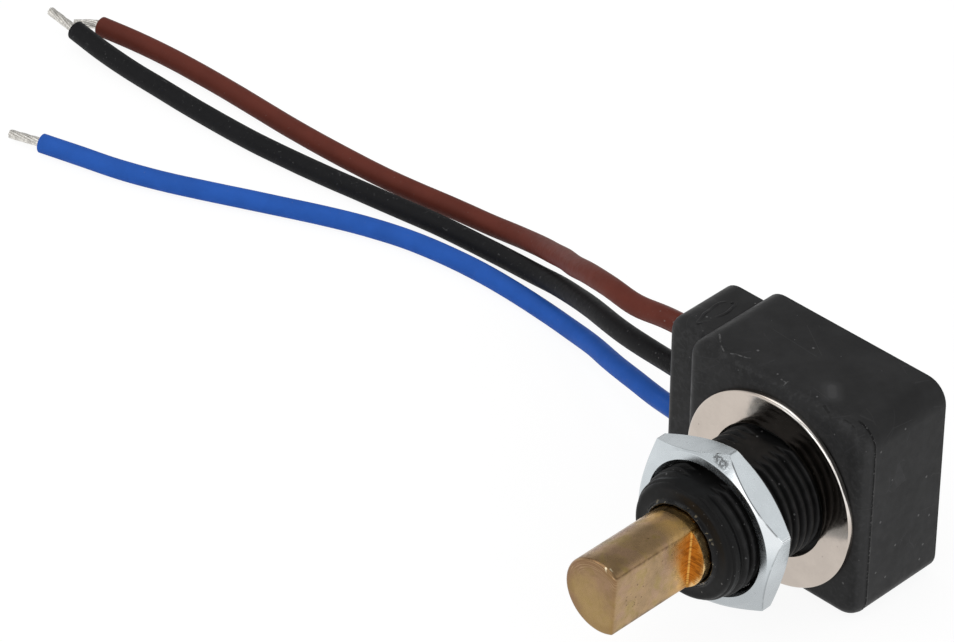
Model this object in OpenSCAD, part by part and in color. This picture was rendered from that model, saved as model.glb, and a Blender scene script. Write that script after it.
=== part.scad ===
// Panel-mounted rotary potentiometer with a D-shaft and three stripped leads.
// Origin: the shaft's axis at the housing's front face. The shaft points along -Y,
// the panel thread lies in front of Y = 0, the housing behind it. All sizes in mm.

/* [Housing] */
// Width of the square housing, along X
body_w = 17.0; // [15.6:0.1:22]
// Height of the square housing, along Z
body_h = 16.8; // [15.6:0.1:22]
// Depth of the housing behind its front face
body_d = 8.6; // [8:0.1:12]
// Height of the housing's middle above the shaft's axis
body_lift = 0.4; // [0:0.1:0.8]
// Radius of the housing's four corners, seen from the front
corner_r = 1.8; // [1.2:0.1:3]
// Radius that rounds the housing's front edge
front_round = 1.0; // [0.4:0.1:1.1]
// Thickness of the housing's side walls behind the track board
side_wall = 1.4; // [1:0.1:1.6]
// Thickness of the front wall that the bushing grows from
front_wall = 1.6; // [1.2:0.1:1.8]
// Radius of the round rotor chamber
chamber_r = 6.7; // [6.7:0.05:6.9]

/* [Side block] */
// How far the side block stands out from the housing's left side
block_out = 4.2; // [3.8:0.1:6]
// Height of the side block, along Z
block_h = 14.0; // [13.4:0.1:15]
// Depth of the side block, from the housing's back towards its front
block_d = 6.0; // [5.8:0.1:7]
// Radius of the side block's corners
block_r = 1.7; // [0.9:0.1:2]
// Radius that rounds the side block's front edge
block_round = 0.8; // [0.3:0.1:0.85]
// Thickness of the side block's walls
block_wall = 1.2; // [0.8:0.1:1.3]

/* [Bushing] */
// Outer radius of the threaded bushing
bushing_r = 4.97; // [4.6:0.01:5.2]
// Length of the bushing in front of the housing
bushing_l = 9.4; // [7.6:0.1:14]
// Size of the chamfer round the bushing's mouth, along its radius
bushing_chamfer = 0.4; // [0.1:0.05:0.6]
// Height above the shaft's axis of the flat along the thread's top
bushing_flat = 4.45; // [4.2:0.05:4.6]
// Advance of the bushing's thread for each turn
thread_pitch = 0.75; // [0.5:0.05:1]
// Depth of the bushing's thread
thread_depth = 0.4; // [0.2:0.05:0.4]

/* [Shaft] */
// Radius of the shaft
shaft_r = 3.0; // [2.9:0.05:3.2]
// Reach of the shaft's end in front of the housing
shaft_l = 18.0; // [15:0.5:40]
// Length of the flat that makes the shaft D-shaped
flat_l = 7.7; // [4:0.1:8]
// Distance from the shaft's axis to the flat
flat_off = 1.6; // [1:0.1:2.5]
// Direction that the flat faces, from +X towards +Z, in degrees
flat_turn = -3.3; // [-15:0.1:15]
// Chamfer of the shaft's front end
shaft_chamfer = 0.25; // [0.05:0.05:0.6]
// Radius of the shaft's thin rear seat, which carries the rotor
seat_r = 2.0; // [1.8:0.05:2.2]
// Distance from the axis to the rear seat's flat
seat_flat = 1.5; // [1.3:0.05:1.7]
// Depth of the groove for the retaining ring
groove_depth = 0.6; // [0.4:0.05:0.7]

/* [Washer and nut] */
// Outer radius of the flat washer
washer_r = 7.75; // [6.5:0.05:7.8]
// Radius of the washer's hole
washer_hole_r = 5.2; // [5.1:0.05:5.6]
// Thickness of the washer
washer_t = 0.5; // [0.3:0.05:1]
// Width of the nut across its flats
nut_af = 12.35; // [11.5:0.05:14]
// Thickness of the nut
nut_t = 2.1; // [1.8:0.1:2.6]
// Radius of the round that the nut's chamfered corners leave on its faces
nut_nose_r = 5.8; // [5.6:0.05:7]
// Clear space between the washer and the nut
panel_gap = 4.5; // [3.5:0.1:5]
// Direction of the nut's first flat, from +X towards +Z, in degrees
nut_turn = -12.5; // [-30:0.5:30]
// Chamfer at the mouths of the nut's thread
nut_bore_chamfer = 0.35; // [0.1:0.05:0.5]

/* [Rotor and wiper] */
// Thickness of the thrust washer between the front wall and the retaining ring
thrust_t = 0.4; // [0.3:0.05:0.5]
// Outer radius of the thrust washer
thrust_r = 4.5; // [4:0.1:5]
// Thickness of the retaining ring
ring_t = 0.6; // [0.5:0.05:0.7]
// Outer radius of the retaining ring
ring_r = 4.0; // [3.6:0.1:4.6]
// Opening of the retaining ring, in degrees
ring_gap = 70; // [50:5:100]
// Space between the retaining ring and the rotor disc
ring_clear = 0.2; // [0.1:0.05:0.3]
// Reach of the stop post, and of the lug that meets it, along the radius
stop_reach = 1.1; // [0.8:0.05:1.3]
// Height of the wiper's spring from the rotor to the board
spring_h = 1.55; // [1.2:0.05:1.8]
// Width of the stop lug on the rotor, and of the post that stops it
stop_w = 2.8; // [2:0.1:3.2]
// Thickness of the wiper's spring sheet
wiper_t = 0.2; // [0.15:0.05:0.3]
// Outer radius of the wiper's base ring
wiper_base_r = 3.6; // [3.2:0.1:4]
// Half the width of the wiper's arms
arm_r = 0.4; // [0.3:0.02:0.5]
// Radius of the wiper's contact dimples
dimple_r = 0.3; // [0.2:0.02:0.4]

/* [Track board] */
// Thickness of the rear cover behind the board
cover_t = 1.4; // [1:0.05:1.6]
// Thickness of the board
board_t = 0.8; // [0.6:0.1:1]
// Thickness of the printed tracks
track_t = 0.1; // [0.05:0.01:0.15]
// Distance from the rotor chamber's wall in to the middle of the resistive track
track_inset = 1.4; // [1.2:0.05:1.6]
// Distance between the middles of the resistive track and the collector ring
track_step = 2.0; // [1.5:0.05:2.1]
// Width of both printed rings
track_w = 1.0; // [0.8:0.05:1.2]
// Span of the resistive track, in degrees
track_span = 300; // [280:5:310]

/* [Terminals] */
// Distance between neighbouring leads, along Z
lead_pitch = 4.0; // [3.7:0.05:4.2]
// Width of a terminal and of the printed pad below it
terminal_w = 1.8; // [1.6:0.05:2]
// Length of a terminal
terminal_l = 2.6; // [2.4:0.05:2.7]
// Thickness of a terminal
terminal_t = 0.3; // [0.2:0.05:0.3]
// Radius of a rivet's shank
rivet_r = 0.5; // [0.35:0.05:0.6]
// Radius of a rivet's heads
rivet_head_r = 0.8; // [0.7:0.02:0.86]
// Thickness of a rivet's heads
rivet_head_t = 0.3; // [0.2:0.05:0.4]
// Radius of a solder joint
solder_r = 0.6; // [0.5:0.02:0.62]

/* [Leads] */
// Radius over a lead's insulation
wire_r = 0.8; // [0.7:0.02:0.86]
// Radius of a lead's tinned strand
strand_r = 0.38; // [0.3:0.01:0.39]
// Length of insulated lead inside the side block's wall
wire_inside = 1.5; // [1.35:0.05:1.58]

/* [Fits] */
// Clearance between the shaft and its bore, on the radius
shaft_gap = 0.05; // [0.02:0.01:0.1]
// Clearance between the bushing's thread and the nut, on the radius
nut_gap = 0.05; // [0.02:0.01:0.1]
// End play between the retaining ring and the thrust washer
end_play = 0.05; // [0.03:0.01:0.1]
// Clearance of fixed pieces that are pressed or glued together
seat_gap = 0.02; // [0.01:0.005:0.03]
// Space between the wiper's contacts and the tracks
contact_gap = 0.05; // [0.02:0.01:0.1]
// Clearance round the board and the rear cover
tray_gap = 0.1; // [0.05:0.01:0.15]
// Clearance round the leads in the side block's wall
lead_gap = 0.05; // [0.02:0.01:0.1]

/* [Hidden] */

eps = 0.01;
fine = 96;
soft = 32;

// Places along Y, counted backwards from the housing's front face
board_back = body_d - cover_t;
board_y = board_back - board_t;
ring_y = front_wall + thrust_t + end_play;
rotor_y = ring_y + ring_t + ring_clear;
wiper_y = board_y - spring_h;
contact_y = board_y - track_t - contact_gap;
pad_y = board_y - track_t;
terminal_y = pad_y - terminal_t;
wire_y = board_y - wire_r;
nut_back = -washer_t - panel_gap;

// Places along X and Z
body_left = -body_w / 2;
body_low = body_lift - body_h / 2;
body_high = body_lift + body_h / 2;
block_left = body_left - block_out;
block_low = body_lift - block_h / 2;
block_high = body_lift + block_h / 2;
block_y = body_d - block_d;
tray_w = body_w - 2 * side_wall;
tray_h = body_h - 2 * side_wall;
well_left = block_left + block_wall;
well_right = body_left + 0.1;
well_low = block_low + block_wall;
well_high = block_high - block_wall;
tab_h = 2 * lead_pitch + 2.6;
wire_end = block_left + wire_inside;
tab_left = wire_end + tray_gap;
terminal_left = tab_left + 2 * tray_gap;
solder_x = terminal_left + solder_r;
rivet_x = solder_x + solder_r + rivet_head_r + seat_gap;
stop_r = chamber_r - stop_reach;
rotor_r = stop_r - 2 * tray_gap;
lug_r = chamber_r - tray_gap;
track_r = chamber_r - track_inset;
collector_r = track_r - track_step;
window_right = -stop_r / 2;

// Each lead's height, its route from the side block and the bend of its bare end.
// The leads fall from the block under their weight, then lie on the bench at Z = -8.
brown_z = lead_pitch;
black_z = 0;
blue_z = -lead_pitch;
brown_route = [
    [-12.7, 5.6, 4.0], [-16.3, 5.6, 4.0], [-19.8, 6.0, 3.5], [-23.0, 7.0, 2.5],
    [-26.0, 8.4, 1.2], [-28.8, 10.0, -0.4], [-31.5, 11.8, -2.0], [-34.2, 13.4, -3.6],
    [-37.1, 14.9, -5.1], [-40.3, 15.9, -6.3], [-43.7, 16.2, -7.0], [-47.3, 16.0, -7.2],
    [-50.8, 15.5, -7.2], [-54.3, 15.1, -7.2], [-57.9, 14.9, -7.2], [-61.5, 14.8, -7.2],
    [-65.1, 14.8, -7.2], [-68.6, 14.9, -7.2], [-72.2, 15.0, -7.2], [-75.8, 15.0, -7.2],
    [-79.3, 14.9, -7.2], [-82.9, 14.6, -7.2], [-86.4, 14.1, -7.2]];
black_route = [
    [-12.7, 5.6, 0.0], [-16.3, 5.8, 0.0], [-19.8, 6.6, -0.5], [-23.2, 7.8, -1.4],
    [-26.4, 9.3, -2.6], [-29.5, 10.8, -3.9], [-32.7, 12.2, -5.2], [-36.0, 13.2, -6.3],
    [-39.6, 13.8, -7.0], [-43.2, 13.8, -7.2], [-46.9, 13.5, -7.2], [-50.5, 13.0, -7.2],
    [-54.2, 12.5, -7.2], [-57.8, 12.0, -7.2], [-61.5, 11.6, -7.2], [-65.2, 11.3, -7.2],
    [-68.8, 11.2, -7.2], [-72.5, 11.2, -7.2], [-76.2, 11.2, -7.1], [-79.8, 11.2, -7.0],
    [-83.3, 11.3, -6.8], [-86.6, 11.5, -6.5]];
blue_route = [
    [-12.7, 5.6, -4.0], [-16.2, 5.9, -4.0], [-19.6, 6.8, -4.4], [-22.9, 8.0, -5.2],
    [-26.1, 9.3, -6.0], [-29.4, 10.4, -6.8], [-32.9, 11.1, -7.2], [-36.5, 11.3, -7.2],
    [-40.0, 11.3, -7.2], [-43.6, 11.0, -7.2], [-47.1, 10.4, -7.2], [-50.5, 9.4, -7.2],
    [-53.8, 8.1, -7.2], [-57.1, 6.6, -7.2], [-60.3, 5.1, -7.2], [-63.5, 3.6, -7.2],
    [-66.7, 2.2, -7.2], [-70.1, 1.0, -7.2], [-73.6, 0.1, -7.2], [-77.0, -0.8, -7.2]];
brown_tip = [-88.4, 12.9, -7.3];
black_tip = [-90.0, 11.8, -6.3];
blue_tip = [-80.0, -1.5, -7.4];

// A flat-lying cylinder along Y, from y0 to y1
module round_y(r, y0, y1, n = fine) {
    translate([0, y0, 0]) rotate([-90, 0, 0]) cylinder(r = r, h = y1 - y0, $fn = n);
}

// A turned body about Y: points are [radius, y]
module turned_y(points) {
    rotate([-90, 0, 0]) rotate_extrude($fn = fine) polygon(points);
}

// A box between two corners
module box(low, high) {
    translate(low) cube(high - low);
}

// A moulded block: rounded corners and a rounded front edge, square at the back
module moulded(low, high, corner, edge) {
    x = [low[0] + corner, high[0] - corner];
    z = [low[2] + corner, high[2] - corner];
    hull() for (cx = x, cz = z) translate([cx, 0, cz]) {
        round_y(corner, low[1] + edge, high[1], soft);
        translate([0, low[1] + edge, 0]) rotate([-90, 0, 0])
            rotate_extrude($fn = soft) translate([corner - edge, 0])
                intersection() {
                    circle(r = edge, $fn = soft);
                    translate([0, -edge]) square([edge, 2 * edge]);
                }
    }
}

// Points of one ring round a lead, in the plane across its direction
function unit(v) = v / norm(v);
function ring_points(p, dir, r, sides) =
    let (u = unit(cross(dir, [0, 0, 1])), v = cross(u, dir))
    [for (k = [0 : sides - 1]) p + r * (cos(360 * k / sides + 90) * u + sin(360 * k / sides + 90) * v)];
function direction(path, i) =
    let (last = len(path) - 1)
    unit(path[min(i + 1, last)] - path[max(i - 1, 0)]);

// A tube of one closed skin swept along a path
module swept(path, r, sides = 8) {
    n = len(path);
    points = [for (i = [0 : n - 1]) each ring_points(path[i], direction(path, i), r, sides)];
    first = [for (k = [0 : sides - 1]) sides - 1 - k];
    last = [for (k = [0 : sides - 1]) (n - 1) * sides + k];
    walls = [for (i = [0 : n - 2], k = [0 : sides - 1])
        let (a = i * sides, b = a + sides, m = (k + 1) % sides)
        each [[a + k, a + m, b + k], [a + m, b + m, b + k]]];
    polyhedron(points = points, faces = concat([first], walls, [last]), convexity = 4);
}

// The lead's insulation, from inside the side block to its cut end
module insulation(route, z) {
    swept(concat([[wire_end, wire_y, z]], route), wire_r);
}

// The bare tinned end that the stripped insulation leaves
module bare_end(route, tip) {
    end = route[len(route) - 1];
    along = direction(route, len(route) - 1);
    swept([end, end + 0.6 * along, tip], strand_r);
}

// The bushing's outline: a ring-shaped groove for each turn of the thread, then a plain, chamfered mouth
function bushing_outline() =
    let (half = 0.4 * thread_pitch,
         turns = floor((bushing_l - bushing_chamfer - half) / thread_pitch - 0.5))
    concat([[0, eps], [bushing_r, eps]],
           [for (k = [1 : turns]) each
               [[bushing_r, half - k * thread_pitch], [bushing_r - thread_depth, -k * thread_pitch],
                [bushing_r, -half - k * thread_pitch]]],
           [[bushing_r, bushing_chamfer - bushing_l], [bushing_r - bushing_chamfer, -bushing_l],
            [0, -bushing_l]]);

module housing() {
    color([0.13, 0.13, 0.135]) {
        difference() {
            union() {
                moulded([-body_w / 2, 0, body_low], [body_w / 2, body_d, body_high], corner_r, front_round);
                moulded([block_left, block_y, block_low], [body_left + 2 * block_r, body_d, block_high],
                        block_r, block_round);
                turned_y(bushing_outline());
            }
            box([-bushing_r, -bushing_l - 1, bushing_flat], [bushing_r, 0, bushing_r + 1]);
            round_y(shaft_r + shaft_gap, -bushing_l - 1, front_wall + 1);
            round_y(chamber_r, front_wall, board_y + eps);
            box([-tray_w / 2, board_y, body_lift - tray_h / 2], [tray_w / 2, body_d + 1, body_lift + tray_h / 2]);
            box([well_left, block_y + block_wall, well_low], [well_right, body_d + 1, well_high]);
            box([well_right - eps, terminal_y - rivet_head_t - tray_gap, -tab_h / 2 - tray_gap],
                [window_right, body_d + 1, tab_h / 2 + tray_gap]);
            for (z = [brown_z, black_z, blue_z]) translate([block_left - 1, wire_y, z])
                rotate([0, 90, 0]) cylinder(r = wire_r + lead_gap, h = block_wall + 2, $fn = 48);
        }
        stop_post();
    }
}

// The post that the rotor's lug meets at both ends of its turn
module stop_post() {
    intersection() {
        round_y(chamber_r + 0.3, front_wall - 0.3, wiper_y);
        box([-chamber_r - 0.3, front_wall - 0.3, -stop_w / 2], [-stop_r, wiper_y, stop_w / 2]);
    }
}

module rear_cover() {
    color([0.16, 0.16, 0.165])
        box([-tray_w / 2 + tray_gap, board_back, body_lift - tray_h / 2 + tray_gap],
            [tray_w / 2 - tray_gap, body_d, body_lift + tray_h / 2 - tray_gap]);
}

module potting() {
    color([0.1, 0.1, 0.1]) difference() {
        union() {
            box([well_left, board_back, well_low], [well_right, body_d, well_high]);
            box([well_right - eps, board_back, -tab_h / 2], [-tray_w / 2, body_d, tab_h / 2]);
        }
        for (z = [brown_z, black_z, blue_z]) translate([rivet_x, 0, z])
            round_y(rivet_head_r + seat_gap, board_back - 1, board_back + rivet_head_t + seat_gap, 48);
    }
}

module shaft() {
    color([0.71, 0.6, 0.38]) difference() {
        turned_y([[0, -shaft_l], [shaft_r - shaft_chamfer, -shaft_l], [shaft_r, shaft_chamfer - shaft_l],
                  [shaft_r, ring_y - seat_gap], [shaft_r - groove_depth, ring_y - seat_gap],
                  [shaft_r - groove_depth, ring_y + ring_t + seat_gap], [shaft_r, ring_y + ring_t + seat_gap],
                  [shaft_r, rotor_y], [seat_r, rotor_y], [seat_r, wiper_y], [0, wiper_y]]);
        rotate([0, -flat_turn, 0])
            box([flat_off, -shaft_l - 1, -shaft_r - 1], [shaft_r + 1, flat_l - shaft_l, shaft_r + 1]);
        box([seat_flat, rotor_y, -shaft_r], [shaft_r, wiper_y + 1, shaft_r]);
    }
}

module retaining_ring() {
    color([0.6, 0.61, 0.63]) difference() {
        round_y(ring_r, ring_y, ring_y + ring_t);
        round_y(shaft_r - groove_depth + seat_gap, ring_y - 1, ring_y + ring_t + 1);
        rotate([0, -90, 0]) translate([0, ring_y - 1, 0]) rotate([-90, 0, 0]) linear_extrude(ring_t + 2)
            polygon([[0, 0], [2 * ring_r, -2 * ring_r * tan(ring_gap / 2)], [2 * ring_r, 2 * ring_r * tan(ring_gap / 2)]]);
    }
}

module thrust_washer() {
    color([0.85, 0.83, 0.76]) difference() {
        round_y(thrust_r, front_wall, front_wall + thrust_t);
        round_y(shaft_r + 2 * shaft_gap, front_wall - 1, front_wall + thrust_t + 1);
    }
}

module rotor() {
    color([0.82, 0.8, 0.72]) difference() {
        union() {
            round_y(rotor_r, rotor_y, wiper_y);
            intersection() {
                round_y(lug_r, rotor_y, wiper_y);
                box([0, rotor_y, -stop_w / 2], [lug_r, wiper_y, stop_w / 2]);
            }
        }
        difference() {
            round_y(seat_r + seat_gap, rotor_y - 1, wiper_y + 1);
            box([seat_flat + seat_gap, rotor_y - 1, -shaft_r], [shaft_r, wiper_y + 1, shaft_r]);
        }
    }
}

// One spring arm of the wiper, from the base ring to a contact at radius r
module wiper_arm(r, start) {
    root = wiper_base_r - 1.4 * arm_r;
    hull() {
        translate([root * cos(start), wiper_y, root * sin(start)])
            rotate([-90, 0, 0]) cylinder(r = arm_r, h = wiper_t, $fn = 24);
        translate([r, contact_y - dimple_r - wiper_t, 0])
            rotate([-90, 0, 0]) cylinder(r = arm_r, h = wiper_t, $fn = 24);
    }
    translate([r, contact_y - dimple_r, 0]) sphere(r = dimple_r, $fn = 24);
}

module wiper() {
    color([0.83, 0.62, 0.4]) {
        difference() {
            round_y(wiper_base_r, wiper_y, wiper_y + wiper_t);
            round_y(seat_r, wiper_y - 1, wiper_y + wiper_t + 1);
        }
        wiper_arm(track_r, 75);
        wiper_arm(collector_r, -75);
    }
}

module track_board() {
    color([0.55, 0.36, 0.2]) difference() {
        union() {
            box([-tray_w / 2 + tray_gap, board_y, body_lift - tray_h / 2 + tray_gap],
                [tray_w / 2 - tray_gap, board_back, body_lift + tray_h / 2 - tray_gap]);
            box([tab_left, board_y, -tab_h / 2], [0, board_back, tab_h / 2]);
        }
        for (z = [brown_z, black_z, blue_z]) translate([rivet_x, 0, z])
            round_y(rivet_r + seat_gap, board_y - 1, board_back + 1, 48);
    }
}

// A printed pad below a terminal, running right to the given X
module printed_lead(z, right) {
    difference() {
        box([terminal_left, pad_y, z - terminal_w / 2], [right, board_y, z + terminal_w / 2]);
        translate([rivet_x, 0, z]) round_y(rivet_r + seat_gap, pad_y - 1, board_y + 1, 48);
    }
}

module resistive_track() {
    open = (360 - track_span) / 2;
    reach = 2 * track_r;
    outer = track_r + track_w / 2;
    color([0.12, 0.12, 0.12]) {
        difference() {
            round_y(outer, pad_y, board_y);
            round_y(track_r - track_w / 2, pad_y - 1, board_y + 1);
            translate([0, pad_y - 1, 0]) rotate([-90, 0, 0]) linear_extrude(track_t + 2)
                polygon([[0, 0], [-reach, reach * tan(open)], [-reach, -reach * tan(open)]]);
        }
        for (z = [brown_z, blue_z]) difference() {
            printed_lead(z, -track_r * cos(asin((abs(z) - terminal_w / 2) / track_r)));
            round_y(track_r, pad_y - 1, board_y + 1);
        }
    }
}

module collector_ring() {
    color([0.8, 0.8, 0.78]) {
        difference() {
            round_y(collector_r + track_w / 2, pad_y, board_y);
            round_y(collector_r - track_w / 2, pad_y - 1, board_y + 1);
        }
        difference() {
            printed_lead(black_z, -collector_r);
            round_y(collector_r, pad_y - 1, board_y + 1);
        }
    }
}

module terminal(z) {
    color([0.78, 0.76, 0.68]) difference() {
        box([terminal_left, terminal_y, z - terminal_w / 2], [terminal_left + terminal_l, pad_y, z + terminal_w / 2]);
        translate([rivet_x, 0, z]) round_y(rivet_r + seat_gap, terminal_y - 1, pad_y + 1, 48);
    }
}

module rivet(z) {
    color([0.8, 0.68, 0.42]) translate([rivet_x, 0, z]) {
        round_y(rivet_head_r, terminal_y - rivet_head_t, terminal_y, 48);
        round_y(rivet_r, terminal_y - eps, board_back + eps, 48);
        round_y(rivet_head_r, board_back, board_back + rivet_head_t, 48);
    }
}

// Solder over the lead's stripped inner end
module solder(z) {
    color([0.75, 0.76, 0.78]) {
        intersection() {
            translate([solder_x, terminal_y - 0.4, z]) sphere(r = solder_r, $fn = 48);
            box([solder_x - 1, terminal_y - 2, z - 1], [solder_x + 1, terminal_y, z + 1]);
        }
        translate([wire_end, wire_y, z]) rotate([0, 90, 0])
            cylinder(r = strand_r, h = solder_x + 0.4 * solder_r - wire_end, $fn = 48);
    }
}

module lead_brown() { color([0.38, 0.19, 0.15]) insulation(brown_route, brown_z); }
module lead_black() { color([0.12, 0.12, 0.125]) insulation(black_route, black_z); }
module lead_blue() { color([0.14, 0.3, 0.62]) insulation(blue_route, blue_z); }
module strand_brown() { color([0.74, 0.73, 0.7]) bare_end(brown_route, brown_tip); }
module strand_black() { color([0.74, 0.73, 0.7]) bare_end(black_route, black_tip); }
module strand_blue() { color([0.74, 0.73, 0.7]) bare_end(blue_route, blue_tip); }

// The washer hangs on the bushing, so it lies lower by its spare room
module washer() {
    hang = washer_hole_r - bushing_r - 0.03;
    color([0.76, 0.75, 0.72]) translate([0, 0, -hang]) difference() {
        round_y(washer_r, -washer_t, 0);
        round_y(washer_hole_r, -washer_t - 1, 1);
    }
}

module nut() {
    nut_front = nut_back - nut_t;
    bore = bushing_r + nut_gap;
    corner = nut_af / sqrt(3) + 0.1;
    slope = (corner - nut_nose_r) * tan(30);
    color([0.75, 0.78, 0.8]) difference() {
        intersection() {
            translate([0, nut_front, 0]) rotate([0, -nut_turn, 0]) rotate([-90, 0, 0])
                rotate([0, 0, 30]) cylinder(r = nut_af / sqrt(3), h = nut_t, $fn = 6);
            turned_y([[0, nut_front], [nut_nose_r, nut_front], [corner, nut_front + slope],
                      [corner, nut_back - slope], [nut_nose_r, nut_back], [0, nut_back]]);
        }
        turned_y([[0, nut_front - 1], [bore + nut_bore_chamfer + 1, nut_front - 1],
                  [bore, nut_front + nut_bore_chamfer], [bore, nut_back - nut_bore_chamfer],
                  [bore + nut_bore_chamfer + 1, nut_back + 1], [0, nut_back + 1]]);
    }
}

housing();
rear_cover();
potting();
shaft();
retaining_ring();
thrust_washer();
rotor();
wiper();
track_board();
resistive_track();
collector_ring();
terminal(brown_z);  // terminal_brown
terminal(black_z);  // terminal_black
terminal(blue_z);  // terminal_blue
rivet(brown_z);  // rivet_brown
rivet(black_z);  // rivet_black
rivet(blue_z);  // rivet_blue
solder(brown_z);  // solder_brown
solder(black_z);  // solder_black
solder(blue_z);  // solder_blue
lead_brown();
lead_black();
lead_blue();
strand_brown();
strand_black();
strand_blue();
washer();
nut();
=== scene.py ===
"""Rotary potentiometer: the finish of every piece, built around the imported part."""
import math

import bmesh
import bpy
import numpy as np
from mathutils import Matrix, Vector


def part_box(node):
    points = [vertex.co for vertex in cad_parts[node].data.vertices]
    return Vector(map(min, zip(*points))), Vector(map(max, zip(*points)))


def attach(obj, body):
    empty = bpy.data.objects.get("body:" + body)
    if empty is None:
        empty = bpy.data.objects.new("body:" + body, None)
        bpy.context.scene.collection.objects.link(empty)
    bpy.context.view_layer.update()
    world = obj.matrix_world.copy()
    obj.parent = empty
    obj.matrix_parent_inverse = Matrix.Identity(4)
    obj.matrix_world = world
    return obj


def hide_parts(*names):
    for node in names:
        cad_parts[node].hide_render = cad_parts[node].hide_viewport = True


bl_info = {
    "name": "Rotary Potentiometer",
    "version": (1, 0, 0),
    "blender": (4, 5, 0),
    "location": "View3D > Sidebar > Potentiometer",
    "description": "Builds the moulded, turned and plated finish of a panel potentiometer",
    "category": "Object",
}

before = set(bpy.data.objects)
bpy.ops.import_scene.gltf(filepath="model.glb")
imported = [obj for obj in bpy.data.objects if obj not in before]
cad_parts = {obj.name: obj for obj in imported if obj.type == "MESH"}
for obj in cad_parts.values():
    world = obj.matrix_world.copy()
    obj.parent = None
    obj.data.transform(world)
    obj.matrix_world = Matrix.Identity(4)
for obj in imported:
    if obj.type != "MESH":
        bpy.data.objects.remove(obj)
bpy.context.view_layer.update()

MM = 0.001
HOUSING_LOW, HOUSING_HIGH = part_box("housing")
COVER_LOW, COVER_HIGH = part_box("rear_cover")
RESIN_LOW, RESIN_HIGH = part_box("potting")
SHAFT_LOW, SHAFT_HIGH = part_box("shaft")
WASHER_LOW, WASHER_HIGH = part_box("washer")
NUT_LOW, NUT_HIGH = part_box("nut")
LEADS = ("brown", "black", "blue")
# How much thicker each lead looks than its nominal size
THICKNESS = {"brown": 1.05, "black": 1.05, "blue": 1.0}
# The dip of each lead beside its route, near the side block: middle in x, depth and width
SAGS = {"brown": (-18.5 * MM, 0.45 * MM, 2.7 * MM), "black": (-20.5 * MM, 0.18 * MM, 3.6 * MM),
        "blue": (-20.5 * MM, 0.06 * MM, 3.6 * MM)}

# The routes of the leads from the side block, in metres, as they lie in the part's source
ROUTES = {
    "brown": [
        (-0.0127, 0.0056, 0.0040), (-0.0163, 0.0056, 0.0040), (-0.0198, 0.0060, 0.0035),
        (-0.0230, 0.0070, 0.0025), (-0.0260, 0.0084, 0.0012), (-0.0288, 0.0100, -0.0004),
        (-0.0315, 0.0118, -0.0020), (-0.0342, 0.0134, -0.0036), (-0.0371, 0.0149, -0.0051),
        (-0.0403, 0.0159, -0.0063), (-0.0437, 0.0162, -0.0070), (-0.0473, 0.0160, -0.0072),
        (-0.0508, 0.0155, -0.0072), (-0.0543, 0.0151, -0.0072), (-0.0579, 0.0149, -0.0072),
        (-0.0615, 0.0148, -0.0072), (-0.0651, 0.0148, -0.0072), (-0.0686, 0.0149, -0.0072),
        (-0.0722, 0.0150, -0.0072), (-0.0758, 0.0150, -0.0072), (-0.0793, 0.0149, -0.0072),
        (-0.0829, 0.0146, -0.0072), (-0.0864, 0.0141, -0.0072)],
    "black": [
        (-0.0127, 0.0056, 0.0000), (-0.0163, 0.0058, 0.0000), (-0.0198, 0.0066, -0.0005),
        (-0.0232, 0.0078, -0.0014), (-0.0264, 0.0093, -0.0026), (-0.0295, 0.0108, -0.0039),
        (-0.0327, 0.0122, -0.0052), (-0.0360, 0.0132, -0.0063), (-0.0396, 0.0138, -0.0070),
        (-0.0432, 0.0138, -0.0072), (-0.0469, 0.0135, -0.0072), (-0.0505, 0.0130, -0.0072),
        (-0.0542, 0.0125, -0.0072), (-0.0578, 0.0120, -0.0072), (-0.0615, 0.0116, -0.0072),
        (-0.0652, 0.0113, -0.0072), (-0.0688, 0.0112, -0.0072), (-0.0725, 0.0112, -0.0072),
        (-0.0762, 0.0112, -0.0071), (-0.0798, 0.0112, -0.0070), (-0.0833, 0.0113, -0.0068),
        (-0.0866, 0.0115, -0.0065)],
    "blue": [
        (-0.0127, 0.0056, -0.0040), (-0.0162, 0.0059, -0.0040), (-0.0196, 0.0068, -0.0044),
        (-0.0229, 0.0080, -0.0052), (-0.0261, 0.0093, -0.0060), (-0.0294, 0.0104, -0.0068),
        (-0.0329, 0.0111, -0.0072), (-0.0365, 0.0113, -0.0072), (-0.0400, 0.0113, -0.0072),
        (-0.0436, 0.0110, -0.0072), (-0.0471, 0.0104, -0.0072), (-0.0505, 0.0094, -0.0072),
        (-0.0538, 0.0081, -0.0072), (-0.0571, 0.0066, -0.0072), (-0.0603, 0.0051, -0.0072),
        (-0.0635, 0.0036, -0.0072), (-0.0667, 0.0022, -0.0072), (-0.0701, 0.0010, -0.0072),
        (-0.0736, 0.0001, -0.0072), (-0.0770, -0.0008, -0.0072)],
}
# Where the bare, tinned end of each lead points to
TIPS = {
    "brown": (-0.0884, 0.0129, -0.0073),
    "black": (-0.0900, 0.0118, -0.0063),
    "blue": (-0.0800, -0.0015, -0.0074),
}

# Profiles in millimetres. The lip: how far a ring lies outside the crest and how far behind the mouth
LIP_PROFILE = ((0.32, 0.01), (0.22, -0.03), (0.13, -0.12), (0.06, -0.20), (0.0, -0.23), (-0.06, -0.21),
               (-0.11, -0.14), (-0.14, -0.02))
# The backs of the cover and of the resin: how far a ring is set in and how far it is sunk
COVER_PROFILE = ((0.0, 0.22), (0.05, 0.1), (0.18, 0.0), (0.9, 0.0), (0.98, 0.05), (1.05, 0.12), (3.0, 0.12))
RESIN_PROFILE = ((0.0, 0.04), (0.12, 0.14), (0.45, 0.24), (1.2, 0.28))

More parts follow.
